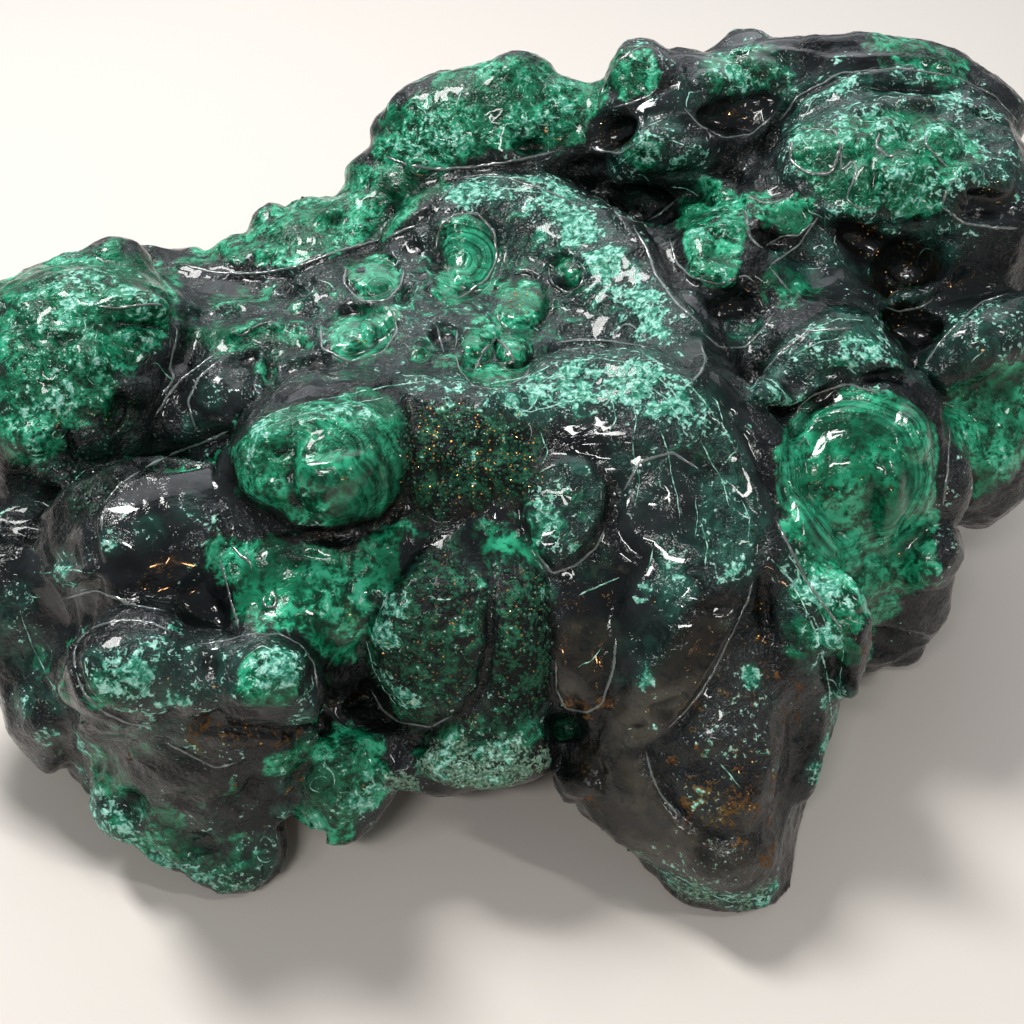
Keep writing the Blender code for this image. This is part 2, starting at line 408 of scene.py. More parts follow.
# -----------------------------------------------------------------------------------------------------------
# Left front foot: a roll of two lobes over a blocky foot. Near-black mineral with mint crust on its edges;
# it grew as rounded lobes, was pitted by water and is worn where the lump stands on it.
grow({
    "roll_end": ((112, 672), (46, 42, 40), -30),
    "roll_shoulder": ((160, 655), (34, 30, 30), -24),
    "roll_cap": ((272, 672), (42, 40, 38), -28),
    "roll_cap_low": ((250, 700), (30, 18, 24), -16),
    "flange": ((225, 742), (62, 16, 22), -12, -3),
    "flange_end": ((292, 744), (30, 22, 24), -14, 20),
}, 0.32)
grow({
    "foot_cheek": ((110, 790), (34, 50, 30), -22, 10),
    "foot_knee": ((200, 800), (50, 44, 34), -26),
    "foot_toe": ((235, 860), (32, 32, 26), -20),
    "foot_corner": ((122, 838), (30, 20, 24), -16, -10),
    "side_panel": ((345, 775), (46, 26, 26), -18, 25),
    "side_panel_low": ((315, 832), (26, 30, 24), -16),
    "low_flank": ((45, 720), (34, 30, 26), -20, -30),
}, 0.6)
dissolve({
    "pit_under_roll": ((176, 762), (26, 10, 10), 3, 10),
    "side_slot": ((345, 700), (22, 40, 18), 3, 12),
    "side_slot_low": ((330, 735), (16, 24, 16), 0, 20),
}, 0.5)
FOOT_FLOW = ((60, 742), (160, 738), (225, 752), (300, 752), (316, 780), (300, 840), (280, 900),
             (200, 910), (130, 880), (80, 850), (60, 800))
SIDE_FLOW = ((300, 740), (390, 740), (410, 790), (350, 860), (290, 870), (280, 800))
even_out(FOOT_FLOW, 44, edge=30)
even_out(SIDE_FLOW, 30)
grow({
    "block_left": ((126, 800), (46, 58, 30), -24, 8),
    "panel": ((345, 790), (60, 56, 30), -24, 20),
    "panel_low": ((330, 812), (36, 52, 28), -22, 10),
    "toe": ((226, 866), (50, 40, 30), -20, 10),
    "sole_left": ((170, 844), (36, 36, 28), -20, 20),
}, 1.2)
ease([((180, 858), 40), ((200, 842), 50), ((250, 838), 44), ((150, 828), 44), ((300, 815), 40)], 14)
mould({
    "pit_left": ((129, 802), (26, 22), -1.5, -10, 0.1),
    "pit_middle": ((182, 800), (24, 16), -1.2, 10, 0.1),
    "pit_right": ((230, 806), (22, 14), -1.0, -10, 0.1),
    "pit_low": ((196, 846), (26, 14), -0.9, 20, 0.1),
    "pit_side": ((318, 838), (15, 9), -1.5, 30, 0.3),
    "neck_dimple": ((208, 668), (16, 22), -1.4, 10, 0.3),
    "roll_dimple": ((276, 648), (22, 10), -1.0, 0, 0.3),
    "cap_oval": ((280, 645), (24, 9), 0.4, 0, 0.9),
    "chip_low": ((250, 790), (12, 20), -1.0, 10, 0.3),
    "chip_cheek": ((98, 770), (10, 14), -1.0, -20, 0.3),
})
draw({
    "roll_left_seam": ((72, 650), (78, 684), (97, 706), (130, 724), (160, 727), (176, 710)),
    "roll_right_seam": ((200, 722), (228, 706), (254, 714), (288, 713), (312, 698)),
    "flange_seam": ((165, 742), (190, 757), (220, 768), (250, 764), (285, 752)),
    "toe_seam": ((150, 850), (172, 867), (197, 884)),
    "block_side_seam": ((322, 720), (324, 745), (296, 776), (292, 818), (282, 858), (262, 894)),
    "cheek_seam": ((96, 735), (110, 760), (104, 800)),
}, 1.4, -1.3, sharp=True)
draw({
    "flange_rim": ((160, 731), (185, 746), (218, 757), (246, 754), (287, 742)),
    "block_edge": ((312, 712), (314, 742), (284, 774), (281, 816), (270, 856), (254, 888)),
    "roll_rim": ((74, 634), (69, 660), (84, 696), (114, 718), (152, 724)),
    "cheek_edge": ((82, 745), (88, 790), (100, 828)),
}, 1.1, 0.6)

# -----------------------------------------------------------------------------------------------------------
# Front face: a banded green nodule, a smooth green slope under it, and two lobes over a chalky hem. Solid
# malachite that grew in shells round a point, and a velvety crust of needles that grew over dark mineral.
NODULE = ((229, 448), (250, 420), (301, 402), (366, 397), (403, 411), (410, 453), (398, 495), (380, 518),
          (333, 527), (292, 525), (257, 504), (236, 490))
LENS = ((296, 462), (333, 453), (366, 451), (380, 476), (366, 511), (333, 521), (305, 513), (294, 490))
LEFT_LOBE = ((459, 528), (489, 583), (487, 639), (477, 685), (459, 713), (431, 727), (398, 722),
             (371, 695), (363, 657), (371, 625), (389, 588), (422, 552))
RIGHT_LOBE = ((500, 572), (547, 570), (554, 620), (548, 676), (536, 710), (505, 733), (487, 706),
              (492, 639))
TOOTH = ((556, 639), (580, 620), (614, 625), (617, 662), (605, 704), (584, 713), (556, 690))
DARK_FACET = ((176, 592), (212, 566), (232, 632), (205, 640), (184, 630))
FACE_FLOW = ((420, 400), (520, 392), (560, 440), (580, 600), (600, 690), (540, 712), (480, 718),
             (420, 712), (380, 680), (372, 600), (404, 540), (412, 470))
LOBE_FLOW = ((404, 500), (470, 480), (560, 500), (574, 560), (566, 640), (480, 650), (404, 640), (384, 580))
SLOPE_FLOW = ((244, 545), (330, 545), (400, 530), (388, 600), (374, 680), (340, 704), (316, 660),
              (296, 640), (244, 632))
grow({
    "nodule_body": ((326, 470), (92, 66, 66), -44, 8),
    "face_pad": ((468, 452), (80, 66, 54), -44),
    "slope_ridge": ((400, 560), (26, 62, 30), -22, -10),
    "hem_left": ((452, 768), (36, 24, 26), -14, -5),
    "hem_right": ((505, 760), (38, 28, 26), -16, 10),
    "hem_knot": ((395, 772), (24, 16, 20), -10),
}, 0.8)
dissolve({
    "under_nodule": ((330, 542), (70, 12, 24), 4, 2),
    "slope_recess": ((318, 672), (16, 30, 20), 3, -10),
    "tooth_hole": ((574, 730), (24, 13, 18), 2),
    "hem_gap": ((560, 762), (10, 14, 16), 2),
}, 0.5)
even_out(FACE_FLOW, 34)
even_out(LOBE_FLOW, 34)
even_out(SLOPE_FLOW, 30)
ease([((300, 585), 70), ((450, 545), 50), ((510, 560), 50), ((460, 500), 40)], 16)
patch(NODULE, 0.8, 7, crown=2.6)
patch(LENS, 0.5, 3, crown=1.3)
patch(LEFT_LOBE, 0.5, 10, crown=1.4)
patch(RIGHT_LOBE, 0.4, 9, crown=1.0)
patch(TOOTH, 1.3, 4, crown=0.8)
patch(DARK_FACET, -0.9, 6)
ease([((461, 548), 36), ((496, 560), 34), ((530, 565), 34)], 16)
mould({
    "nodule_eye": ((273, 491), (21, 15), 1.4),
    "nodule_pit": ((281, 452), (16, 10), -1.5, 20, 0.4),
    "nodule_pit_small": ((262, 470), (9, 9), -1.2, 0, 0.4),
    "nodule_lump": ((262, 440), (18, 13), 1.0, 20, 0.8),
    "nodule_lump_top": ((330, 415), (26, 9), 0.9, 6, 0.8),
    "face_dent": ((440, 470), (22, 18), -1.2, 0, 0.2),
    "face_dent_right": ((500, 450), (26, 20), -1.0, 0, 0.2),
    "face_bulge": ((468, 430), (20, 14), 0.8, 0, 0.5),
    "slope_bead": ((269, 601), (9, 9), 0.9),
    "slope_bead_dent": ((262, 600), (22, 18), -0.6, 0, 0.3),
    "slope_scallop": ((300, 560), (40, 16), -0.8, -6, 0.3),
    "hem_dent": ((430, 748), (30, 8), -0.9, 0, 0.3),
})
draw({
    "nodule_seam": ((236, 490), (257, 508), (292, 530), (335, 533), (382, 522), (402, 500), (412, 453)),
    "face_left_seam": ((409, 402), (414, 440), (410, 490)),
    "face_low_seam": ((404, 480), (413, 513), (440, 523), (482, 513), (501, 495), (520, 503)),
    "lobe_seam": ((491, 610), (490, 639), (482, 685), (461, 716)),
    "left_lobe_seam": ((376, 610), (362, 650), (368, 697), (396, 726), (431, 731), (461, 716)),
    "right_lobe_seam": ((553, 590), (557, 630), (552, 678), (539, 712), (506, 737)),
    "hem_seam": ((400, 742), (440, 744), (500, 740)),
    "tooth_seam": ((552, 636), (553, 694), (577, 716), (608, 708)),
    "shoulder_seam": ((232, 520), (224, 545), (218, 566), (233, 634)),
    "nodule_crease": ((300, 432), (292, 455), (290, 492), (303, 515)),
}, 1.3, -1.2, sharp=True)
draw({
    "nodule_band": ((335, 421), (366, 437), (385, 465), (391, 498)),
    "nodule_band_inner": ((330, 434), (356, 446), (374, 466)),
    "tooth_rim": ((556, 640), (557, 694), (580, 708), (606, 702)),
    "rim_crust": ((246, 426), (300, 404), (340, 396), (400, 378), (440, 378), (500, 386), (545, 396)),
    "slope_rim": ((400, 520), (398, 560), (380, 588)),
    "slope_rim_left": ((392, 530), (386, 570), (374, 600)),
    "film_lip": ((228, 560), (240, 590), (236, 625), (252, 634)),
    "film_lip_left": ((218, 520), (224, 556), (214, 585)),
    "hem_rim": ((432, 775), (470, 786), (520, 774), (548, 758)),
}, 0.9, 0.6)

# -----------------------------------------------------------------------------------------------------------
# Dome: a smooth dark lobe with mint crust on its crown and a heart-shaped flake standing off its left side.
# The crust settled on what faces up, and the walls below it stayed dark, smooth and glassy.
HEART = ((524, 511), (530, 481), (554, 456), (584, 459), (608, 484), (606, 513), (584, 545), (556, 568),
         (536, 548))
DOME_FLOW = ((540, 360), (640, 350), (700, 390), (750, 460), (774, 520), (776, 600), (780, 680),
             (772, 760), (740, 850), (690, 860), (620, 830), (590, 770), (580, 700), (552, 640),
             (540, 560), (520, 470), (516, 400))
WALL_FLOW = ((540, 540), (600, 500), (700, 560), (716, 640), (690, 710), (620, 735), (560, 710), (544, 620))
even_out(WALL_FLOW, 40)
even_out(DOME_FLOW, 50)
patch(HEART, 0.9, 5, crown=0.5)
mould({
    "dome_wave": ((590, 440), (70, 16), 0.7, 0, 0.3),
    "dome_hollow_left": ((545, 440), (30, 22), -0.8, 0, 0.2),
    "dome_flat": ((610, 600), (34, 60), -0.8, 0, 0.2),
    "dome_facet": ((650, 506), (22, 30), -0.5, 10, 0.3),
})
draw({
    "heart_seam": ((530, 478), (518, 511), (530, 552), (552, 576), (590, 552), (614, 515), (614, 484)),
    "dome_right_seam": ((706, 384), (735, 420), (762, 467), (782, 516)),
    "dome_crack": ((768, 520), (761, 553), (744, 587), (728, 606), (690, 611)),
    "dome_top_seam": ((470, 400), (500, 378), (530, 356), (584, 341), (640, 348), (690, 374)),
    "front_crack": ((622, 575), (612, 620), (604, 660), (608, 700)),
    "heart_slit": ((606, 513), (622, 540), (640, 556)),
}, 1.3, -1.1, sharp=True)
draw({
    "heart_rim": ((546, 570), (575, 562), (598, 538), (612, 508)),
    "wall_vein": ((607, 640), (622, 606), (645, 575)),
}, 0.8, 0.5)

# -----------------------------------------------------------------------------------------------------------
# Right front leg: a smooth grey rib, a dark rusty tongue beside it and a pale worn edge where it stands.
# Compact mineral stained by iron in the hollow, with a ridge of mint crust down its right side.
TONGUE = ((766, 566), (746, 606), (729, 650), (711, 682), (693, 708), (668, 736), (646, 756), (661, 795),
          (682, 819), (716, 838), (750, 842), (776, 824), (788, 780), (794, 735), (790, 680), (781, 624),
          (774, 584))
LOW_LOBE = ((590, 752), (640, 752), (664, 800), (684, 824), (720, 850), (690, 872), (640, 862),
            (606, 830), (572, 796))
LEG_FLOW = ((570, 745), (640, 735), (700, 700), (770, 610), (812, 590), (845, 640), (842, 720),
            (830, 800), (820, 880), (780, 930), (700, 925), (636, 890), (570, 830))
grow({
    "leg_sole": ((682, 868), (66, 52, 32), -20, 20),
    "leg_sole_right": ((764, 872), (62, 62, 32), -20),
}, 1.2)
even_out(LEG_FLOW, 44, edge=30)
grow({
    "leg_heel": ((622, 812), (46, 52, 30), -22, 20),
    "leg_edge_lobe": ((820, 700), (30, 110, 30), -24, -3),
}, 1.2)
patch(TONGUE, -0.8, 14)
patch(LOW_LOBE, 0.3, 9, crown=0.6)
ease([((700, 872), 52), ((752, 878), 52), ((650, 850), 40), ((712, 838), 40)], 14)
mould({
    "tongue_wedge": ((766, 604), (12, 40), -1.8, 8, 0.5),
    "rib_swell": ((684, 650), (40, 80), 1.6, -34, 0.4),
    "leg_foot": ((738, 868), (60, 34), 1.5, 0, 0.4),
    "rib_dent": ((668, 700), (22, 9), -0.9, 25, 0.4),
    "rib_chip": ((640, 726), (12, 8), -0.7, 0, 0.4),
    "tongue_rise": ((770, 760), (28, 60), 1.2, -10, 0.2),
    "tongue_fold": ((712, 740), (26, 12), 0.8, 30, 0.4),
    "heel": ((572, 782), (24, 16), 1.4, 20, 0.7),
    "edge_lump": ((830, 640), (12, 18), 1.2, 0, 0.8),
    "edge_lump_low": ((838, 690), (10, 20), 1.0, 0, 0.8),
})
draw({
    "rib_seam": ((752, 590), (737, 628), (716, 666), (700, 696), (674, 725), (650, 745)),
    "tongue_left_seam": ((650, 755), (664, 795), (684, 820), (720, 842)),
    "leg_left_seam": ((600, 716), (590, 750), (600, 772)),
}, 1.3, -1.1, sharp=True)
draw({
    "rib_rim": ((742, 590), (730, 628), (709, 664), (693, 694), (664, 726), (632, 742)),
    "low_rim": ((652, 762), (659, 797), (679, 824), (712, 846)),
    "leg_edge": ((560, 776), (590, 780), (606, 812), (616, 842)),
    "sole_edge": ((640, 862), (684, 890), (736, 908), (780, 900), (806, 860)),
}, 1.0, 0.7)
draw({
    "mint_ridge": ((782, 552), (797, 605), (811, 650), (820, 700), (818, 750), (808, 800)),
}, 2.0, 0.9)

# -----------------------------------------------------------------------------------------------------------
# Right side: a glassy green lobe with rounded bands, a dark brow over it and a flank behind. The lobe is
# solid malachite, laid down in shells, and the brow is a dark fold that overhangs it.
BROW = ((752, 398), (762, 362), (790, 330), (830, 310), (872, 312), (900, 340), (908, 372), (880, 370),
        (846, 378), (806, 402), (780, 408))
RIGHT_RIDGE = ((914, 372), (930, 345), (960, 318), (1000, 296), (1040, 290), (1040, 345), (990, 372),
               (940, 392))
grow({
    "glassy": ((850, 470), (84, 92, 70), -54, 10),
    "glassy_skirt": ((882, 572), (50, 44, 40), -30, 20),
    "glassy_bump": ((928, 560), (20, 18, 18), -10),
    "flank_lobe": ((975, 450), (44, 56, 40), -30),
    "flank_bump": ((965, 500), (20, 16, 18), -8),
}, 0.7)
dissolve({
    "flank_cut": ((912, 652), (64, 26, 40), 10, -24),
}, 0.5)
patch(BROW, 1.4, 6, crown=1.8)
patch(RIGHT_RIDGE, 1.2, 6, crown=1.4)
mould({
    "glassy_core": ((845, 470), (40, 40), 1.0, 0, 0.5),
    "glassy_knob": ((915, 432), (20, 30), 2.0, 10, 0.8),
    "glassy_rib": ((890, 500), (17, 54), 1.4, 8, 0.6),
    "glassy_low": ((840, 555), (30, 24), 0.8, 20, 0.5),
    "brow_hollow": ((842, 372), (28, 10), -1.2, 15, 0.4),
    "rim_pad": ((812, 600), (16, 26), 1.0, -10, 0.7),
})
draw({
    "outer_band": ((788, 530), (775, 490), (776, 450), (790, 418), (818, 392), (862, 382)),
    "middle_band": ((800, 520), (792, 470), (804, 436), (828, 414), (864, 412)),
    "inner_band": ((824, 500), (816, 466), (830, 440), (858, 434)),
    "brow_crest": ((758, 388), (790, 362), (827, 334), (858, 322)),
    "skirt_rim": ((776, 535), (800, 575), (830, 612), (850, 640)),
}, 1.0, 0.45)
draw({
    "band_gap": ((794, 528), (783, 480), (790, 440), (812, 406), (860, 396)),
    "lobe_foot_seam": ((772, 516), (790, 556), (816, 596), (848, 640)),
    "brow_seam": ((800, 405), (830, 390), (880, 376), (906, 382)),
    "flank_seam": ((925, 400), (936, 440), (940, 490), (946, 520)),
    "skirt_seam": ((940, 575), (915, 590), (880, 600), (856, 620)),
}, 1.3, -1.1, sharp=True)

# -----------------------------------------------------------------------------------------------------------
# Top: an arch of dark mineral round sunken pockets that hold green nodules, with films of smooth mineral
# between them. The nodules grew in the pockets, and the films ran over the rims and hardened there.
TOP_FLOW = ((410, 200), (460, 178), (540, 176), (600, 200), (650, 250), (700, 330), (690, 368),
            (640, 346), (560, 344), (500, 380), (420, 372), (330, 372), (300, 340), (320, 280), (380, 250))
even_out(TOP_FLOW, 34)
grow({
    "slope_fold": ((350, 210), (80, 26, 30), -20, 22),
    "slope_lobe": ((208, 396), (52, 26, 28), -15, 36),
}, 0.9)
ease([((600, 260), 60), ((560, 220), 40), ((640, 320), 40), ((420, 340), 50), ((300, 380), 50),
      ((690, 350), 30)], 10)
mould({
    "bean_pocket": ((371, 277), (32, 30), -1.6, 0, 0.9),
    "heart_pocket": ((360, 331), (41, 31), -1.6, 0, 0.9),
    "crescent_pocket": ((464, 258), (38, 50), -1.8, -10, 0.8),
    "ball_socket": ((566, 277), (24, 24), -1.6, 0, 0.7),
    "knob_socket": ((521, 304), (36, 38), -1.5, 0, 0.8),
    "cluster_pocket": ((496, 357), (44, 38), -1.5, 0, 0.8),
    "facet": ((444, 340), (16, 22), -1.6, -10, 0.8),
    "small_pocket": ((419, 353), (13, 14), -1.3, 0, 0.8),
    "tear_pocket": ((404, 296), (9, 18), -1.6, -25, 0.6),
    "bubbles": ((291, 288), (24, 16), -1.2, -10, 0.7),
    "streak": ((266, 378), (10, 32), -2.2, 10, 0.6),
    "streak_left": ((240, 366), (20, 26), -1.2, 0, 0.5),
    "triangle": ((633, 332), (20, 15), -0.9, 20, 0.8),
    "film_dip": ((186, 350), (15, 34), -1.4, -10, 0.3),
    "slope_scoop": ((215, 318), (44, 14), -1.2, 4, 0.3),
    "valley_dip": ((310, 366), (60, 12), -1.2, 16, 0.3),
})
mould({
    "bean": ((373, 278), (24, 22), 2.2, -10),
    "heart_nodule": ((352, 335), (27, 22), 2.0, 10),
    "heart_nodule_side": ((380, 322), (17, 20), 1.8, -20),
    "crescent": ((470, 255), (25, 40), 2.4, 8),
    "crescent_tail": ((446, 284), (22, 18), 1.5, 25, 0.9),
    "crescent_hook": ((452, 224), (22, 9), 1.2, 20, 0.9),
    "knob": ((521, 304), (28, 30), 2.8),
    "ball": ((566, 277), (15, 16), 2.6),
    "cluster_left": ((478, 346), (17, 18), 2.0),
    "cluster_right": ((514, 350), (18, 20), 2.0),
    "cluster_low": ((494, 374), (20, 12), 1.6),
    "cluster_bead": ((492, 334), (9, 9), 1.2),
    "small_ball": ((419, 352), (8, 9), 1.4),
    "bubble_a": ((283, 292), (9, 8), 1.5),
    "bubble_b": ((300, 284), (10, 9), 1.5),
    "bead_a": ((237, 333), (10, 7), 1.2, 10),
    "bead_b": ((254, 327), (9, 8), 1.2),
    "bead_c": ((275, 325), (11, 8), 1.2),
    "bead_d": ((296, 326), (9, 8), 1.0),
    "slope_step": ((250, 256), (30, 14), 1.6, 8, 0.8),
    "slope_knob": ((347, 166), (22, 16), 2.4, 0, 0.9),
    "slope_nub": ((365, 229), (10, 8), 1.2),
    "slope_nub_far": ((400, 188), (13, 9), 1.4),
    "slope_nub_low": ((330, 214), (14, 9), 1.2),
    "slope_nub_high": ((420, 168), (16, 10), 1.4),
    "triangle_tip": ((634, 335), (11, 8), 0.9, 20),
})
draw({
    "film_edge": ((182, 266), (240, 268), (300, 266), (342, 252), (392, 231), (428, 208), (452, 186),
                  (500, 172)),
    "heart_rim": ((322, 318), (324, 346), (350, 364), (384, 354), (400, 330), (394, 306)),
    "ball_rim": ((546, 296), (572, 304), (592, 288), (588, 262), (566, 252)),
    "lobe_rim": ((168, 432), (186, 388), (214, 364), (246, 350)),
    "left_film_edge": ((178, 318), (169, 352), (177, 380), (158, 404)),
    "crescent_rim": ((432, 236), (446, 212), (478, 206), (500, 222), (508, 254), (498, 284)),
    "cluster_rim": ((452, 362), (466, 388), (500, 396), (532, 384), (542, 356)),
    "facet_rim": ((436, 322), (462, 330), (462, 362), (446, 374)),
    "bean_rim": ((346, 262), (344, 290), (366, 306), (396, 300), (404, 272)),
    "valley_rim": ((290, 398), (330, 372), (376, 362), (420, 376)),
    "tear_rim": ((398, 276), (392, 304), (404, 322), (416, 300)),
    "fall_rim": ((600, 196), (622, 222), (646, 250), (664, 290), (698, 326), (708, 344)),
}, 0.85, 0.65)
draw({
    "film_edge_foot": ((184, 276), (242, 279), (302, 276), (346, 262), (396, 240), (432, 216)),
    "fall_foot": ((612, 190), (640, 214), (660, 246), (678, 290), (712, 322)),
    "lobe_left_seam": ((240, 340), (256, 352), (280, 354), (290, 384)),
}, 1.3, -1.1, sharp=True)

# -----------------------------------------------------------------------------------------------------------
# Rosettes and the great dome at the back right: hoods over dark pockets, a bowl, and a rim round beads.
# Green beads grew in clusters on a dark dome, and acid water opened the pockets between the lobes.
PLAQUE = ((776, 200), (744, 192), (752, 214), (778, 238), (806, 230), (816, 204), (800, 186))
GREAT_DOME = ((778, 170), (784, 126), (812, 98), (858, 76), (912, 68), (968, 82), (1010, 118),
              (1024, 170), (1000, 200), (940, 214), (880, 222), (820, 214))
FILM_SHEET = ((776, 266), (850, 262), (880, 290), (884, 324), (850, 318), (800, 300))
grow({
    "far_knob": ((634, 74), (27, 26, 26), -17),
    "far_knob_back": ((664, 38), (28, 18, 24), -12),
    "hood": ((668, 150), (52, 26, 32), -18, 16),
    "hood_far": ((748, 76), (60, 28, 36), -22),
    "boulder_hump": ((430, 104), (60, 40, 40), -28),
    "boulder_hump_right": ((520, 92), (60, 40, 40), -28),
    "great_dome": ((900, 160), (140, 90, 80), -66),
    "ridge_far": ((800, 42), (80, 16, 28), -14, 4),
}, 0.9)
ease([((480, 110), 60), ((720, 360), 34), ((880, 150), 60)], 8)
dissolve({
    "pocket_far": ((610, 134), (32, 15, 20), 3, 12),
    "pocket_middle": ((733, 116), (38, 17, 22), 3, 8),
    "pocket_hood": ((644, 200), (28, 17, 18), 3, -10),
    "slot_small": ((776, 243), (15, 7, 10), 1),
    "bowl": ((730, 314), (30, 22, 16), 5, 20),
    "cavity": ((905, 270), (32, 30, 30), 4, -10),
    "cavity_slot": ((866, 240), (32, 14, 22), 2, -30),
    "cavity_low": ((916, 330), (34, 18, 22), 3, -20),
    "pocket_right": ((985, 200), (36, 17, 20), 3),
    "pocket_boulder": ((540, 146), (30, 8, 12), 2),
}, 0.4)
patch(GREAT_DOME, 0.9, 5)
patch(PLAQUE, 1.0, 3)
patch(FILM_SHEET, 0.7, 8)
mould({
    "rosette_a": ((715, 193), (18, 17), 1.8),
    "rosette_c": ((724, 226), (17, 13), 1.6),
    "rosette_d": ((696, 244), (18, 20), 1.8, -8),
    "rosette_d_low": ((704, 270), (18, 16), 1.6, -8),
    "rosette_e": ((727, 276), (14, 12), 1.4),
    "rosette_f": ((752, 226), (15, 11), 1.4),
    "rosette_g": ((690, 208), (13, 11), 1.2),
    "bead_1": ((813, 149), (24, 22), 1.4),
    "bead_2": ((852, 142), (16, 17), 1.5),
    "bead_3": ((888, 130), (18, 13), 1.4),
    "bead_4": ((942, 142), (20, 22), 1.7),
    "bead_5": ((858, 184), (11, 24), 1.7, -12),
    "bead_6": ((906, 170), (16, 17), 1.6),
    "bead_7": ((884, 176), (9, 22), 1.5, 10),
    "bead_8": ((970, 172), (18, 12), 1.4),
    "bead_9": ((870, 110), (22, 9), 1.2, 6),
    "bead_10": ((916, 104), (22, 9), 1.2, -4),
    "under_rim": ((910, 88), (60, 7), -1.4, 0, 0.6),
    "under_rim_right": ((980, 112), (34, 7), -1.4, -38, 0.6),
    "cavity_crest": ((908, 298), (26, 10), 2.0, 20),
    "pocket_sill": ((960, 196), (8, 20), 1.6, 20),
    "dome_side": ((850, 215), (30, 14), 1.0, -10, 0.8),
    "hood_lump": ((650, 140), (22, 12), 1.2, 10, 0.8),
    "hood_lump_right": ((690, 152), (22, 12), 1.2, 20, 0.8),
    "far_lump": ((760, 66), (26, 16), 1.4, 0, 0.8),
    "far_lump_left": ((716, 80), (20, 12), 1.0, 0, 0.8),
    "far_knob_dent": ((640, 78), (14, 16), -1.0, 0, 0.4),
    "silver_shelf": ((770, 52), (46, 6), 1.0, -4, 0.8),
})
draw({
    "hood_lip": ((602, 194), (622, 221), (650, 224), (676, 204)),
    "bowl_lip": ((700, 332), (726, 350), (762, 332), (775, 312)),
    "crest_up": ((770, 267), (795, 243), (818, 212)),
    "crest_down": ((770, 267), (784, 286), (808, 306)),
    "pocket_far_lip": ((640, 118), (644, 138), (626, 154), (596, 152)),
    "pocket_middle_lip": ((684, 116), (712, 136), (740, 144), (768, 128), (784, 98)),
    "plaque_rim": ((744, 192), (752, 214), (778, 240), (808, 232), (818, 204)),
    "bead_rim": ((790, 140), (790, 168), (812, 176), (838, 164), (840, 134)),
    "film_crest": ((690, 384), (706, 364), (700, 344)),
    "ridge_line": ((700, 76), (760, 56), (830, 60), (900, 58), (960, 70)),
    "dome_rim": ((779, 150), (786, 124), (813, 98), (860, 76), (912, 68), (966, 82), (1006, 116)),
    "sill_lip": ((952, 214), (980, 226), (1016, 222)),
    "bead_wall_a": ((862, 208), (868, 176), (862, 150)),
    "bead_wall_b": ((898, 196), (900, 160), (890, 140)),
    "bead_wall_c": ((930, 176), (926, 140), (940, 118)),
}, 0.9, 0.75)
draw({
    "dome_rim_seam": ((768, 150), (776, 120), (806, 92), (852, 70), (904, 60), (960, 72), (1004, 104)),
    "hood_seam": ((640, 178), (676, 174), (712, 172), (744, 182)),
    "saddle_seam": ((590, 62), (606, 90), (640, 102), (672, 80)),
    "boulder_seam": ((372, 158), (430, 170), (500, 166), (560, 170), (600, 162)),
    "far_seam": ((690, 60), (694, 90), (720, 104), (760, 100), (790, 84)),
}, 1.3, -1.1, sharp=True)

# -----------------------------------------------------------------------------------------------------------
# Left side: a large green boulder, rough and dark low down, and a smooth near-black shoulder in front.
# The boulder is crusted malachite over older dark mineral, which shows bare on the shoulder.
BOULDER_FACE = ((0, 330), (60, 330), (120, 360), (150, 400), (150, 450), (110, 490), (50, 520), (0, 515))
grow({
    "boulder_top": ((70, 300), (86, 50, 60), -44, 10),
    "boulder_face": ((36, 400), (72, 66, 54), -42),
    "boulder_ledge": ((130, 300), (44, 18, 26), -13),
}, 0.8)
patch(BOULDER_FACE, 0.7, 8)
grow({
    "shoulder": ((160, 520), (74, 54, 54), -40, 20),
    "shoulder_tip": ((118, 560), (38, 48, 38), -28),
    "flank": ((40, 600), (54, 46, 42), -31),
}, 0.8)
dissolve({
    "boulder_cleft": ((30, 536), (56, 10, 20), 2, -8),
}, 0.4)
mould({
    "boulder_nose": ((90, 356), (20, 22), 1.4, 0, 0.8),
    "boulder_crumb_a": ((96, 440), (24, 18), 1.6, 0, 0.7),
    "boulder_crumb_b": ((138, 392), (20, 16), 1.4, 0, 0.7),
    "boulder_crumb_c": ((120, 474), (20, 13), 1.2, 0, 0.7),
    "boulder_crumb_d": ((60, 474), (26, 18), 1.6, 0, 0.7),
    "boulder_crumb_e": ((30, 440), (24, 20), 1.4, 0, 0.7),
    "boulder_step": ((60, 340), (60, 9), -0.9, -4, 0.4),
    "crumb_gap": ((114, 414), (9, 26), -1.5, -20, 0.5),
    "crumb_gap_left": ((70, 440), (8, 22), -1.2, 10, 0.5),
    "ledge_slot": ((134, 324), (24, 7), -1.2, 0, 0.5),
    "flank_strap": ((70, 574), (40, 9), 1.0, 4, 0.7),
})
draw({
    "shoulder_rim": ((104, 552), (102, 520), (116, 494), (154, 471), (192, 462), (226, 444)),
    "boulder_line": ((40, 330), (90, 338), (112, 380), (100, 420)),
    "flank_line": ((10, 590), (60, 584), (96, 568)),
    "lip_beads": ((146, 292), (166, 306), (172, 334), (166, 360)),
}, 1.0, 0.55)
draw({
    "shoulder_back_seam": ((96, 560), (92, 520), (106, 486), (150, 460), (196, 450), (226, 434)),
    "boulder_right_seam": ((172, 300), (176, 340), (164, 400), (154, 446)),
    "roll_top_seam": ((80, 632), (120, 622), (170, 634), (215, 642), (250, 640)),
    "flank_seam": ((96, 580), (88, 620), (74, 650)),
}, 1.4, -1.2, sharp=True)

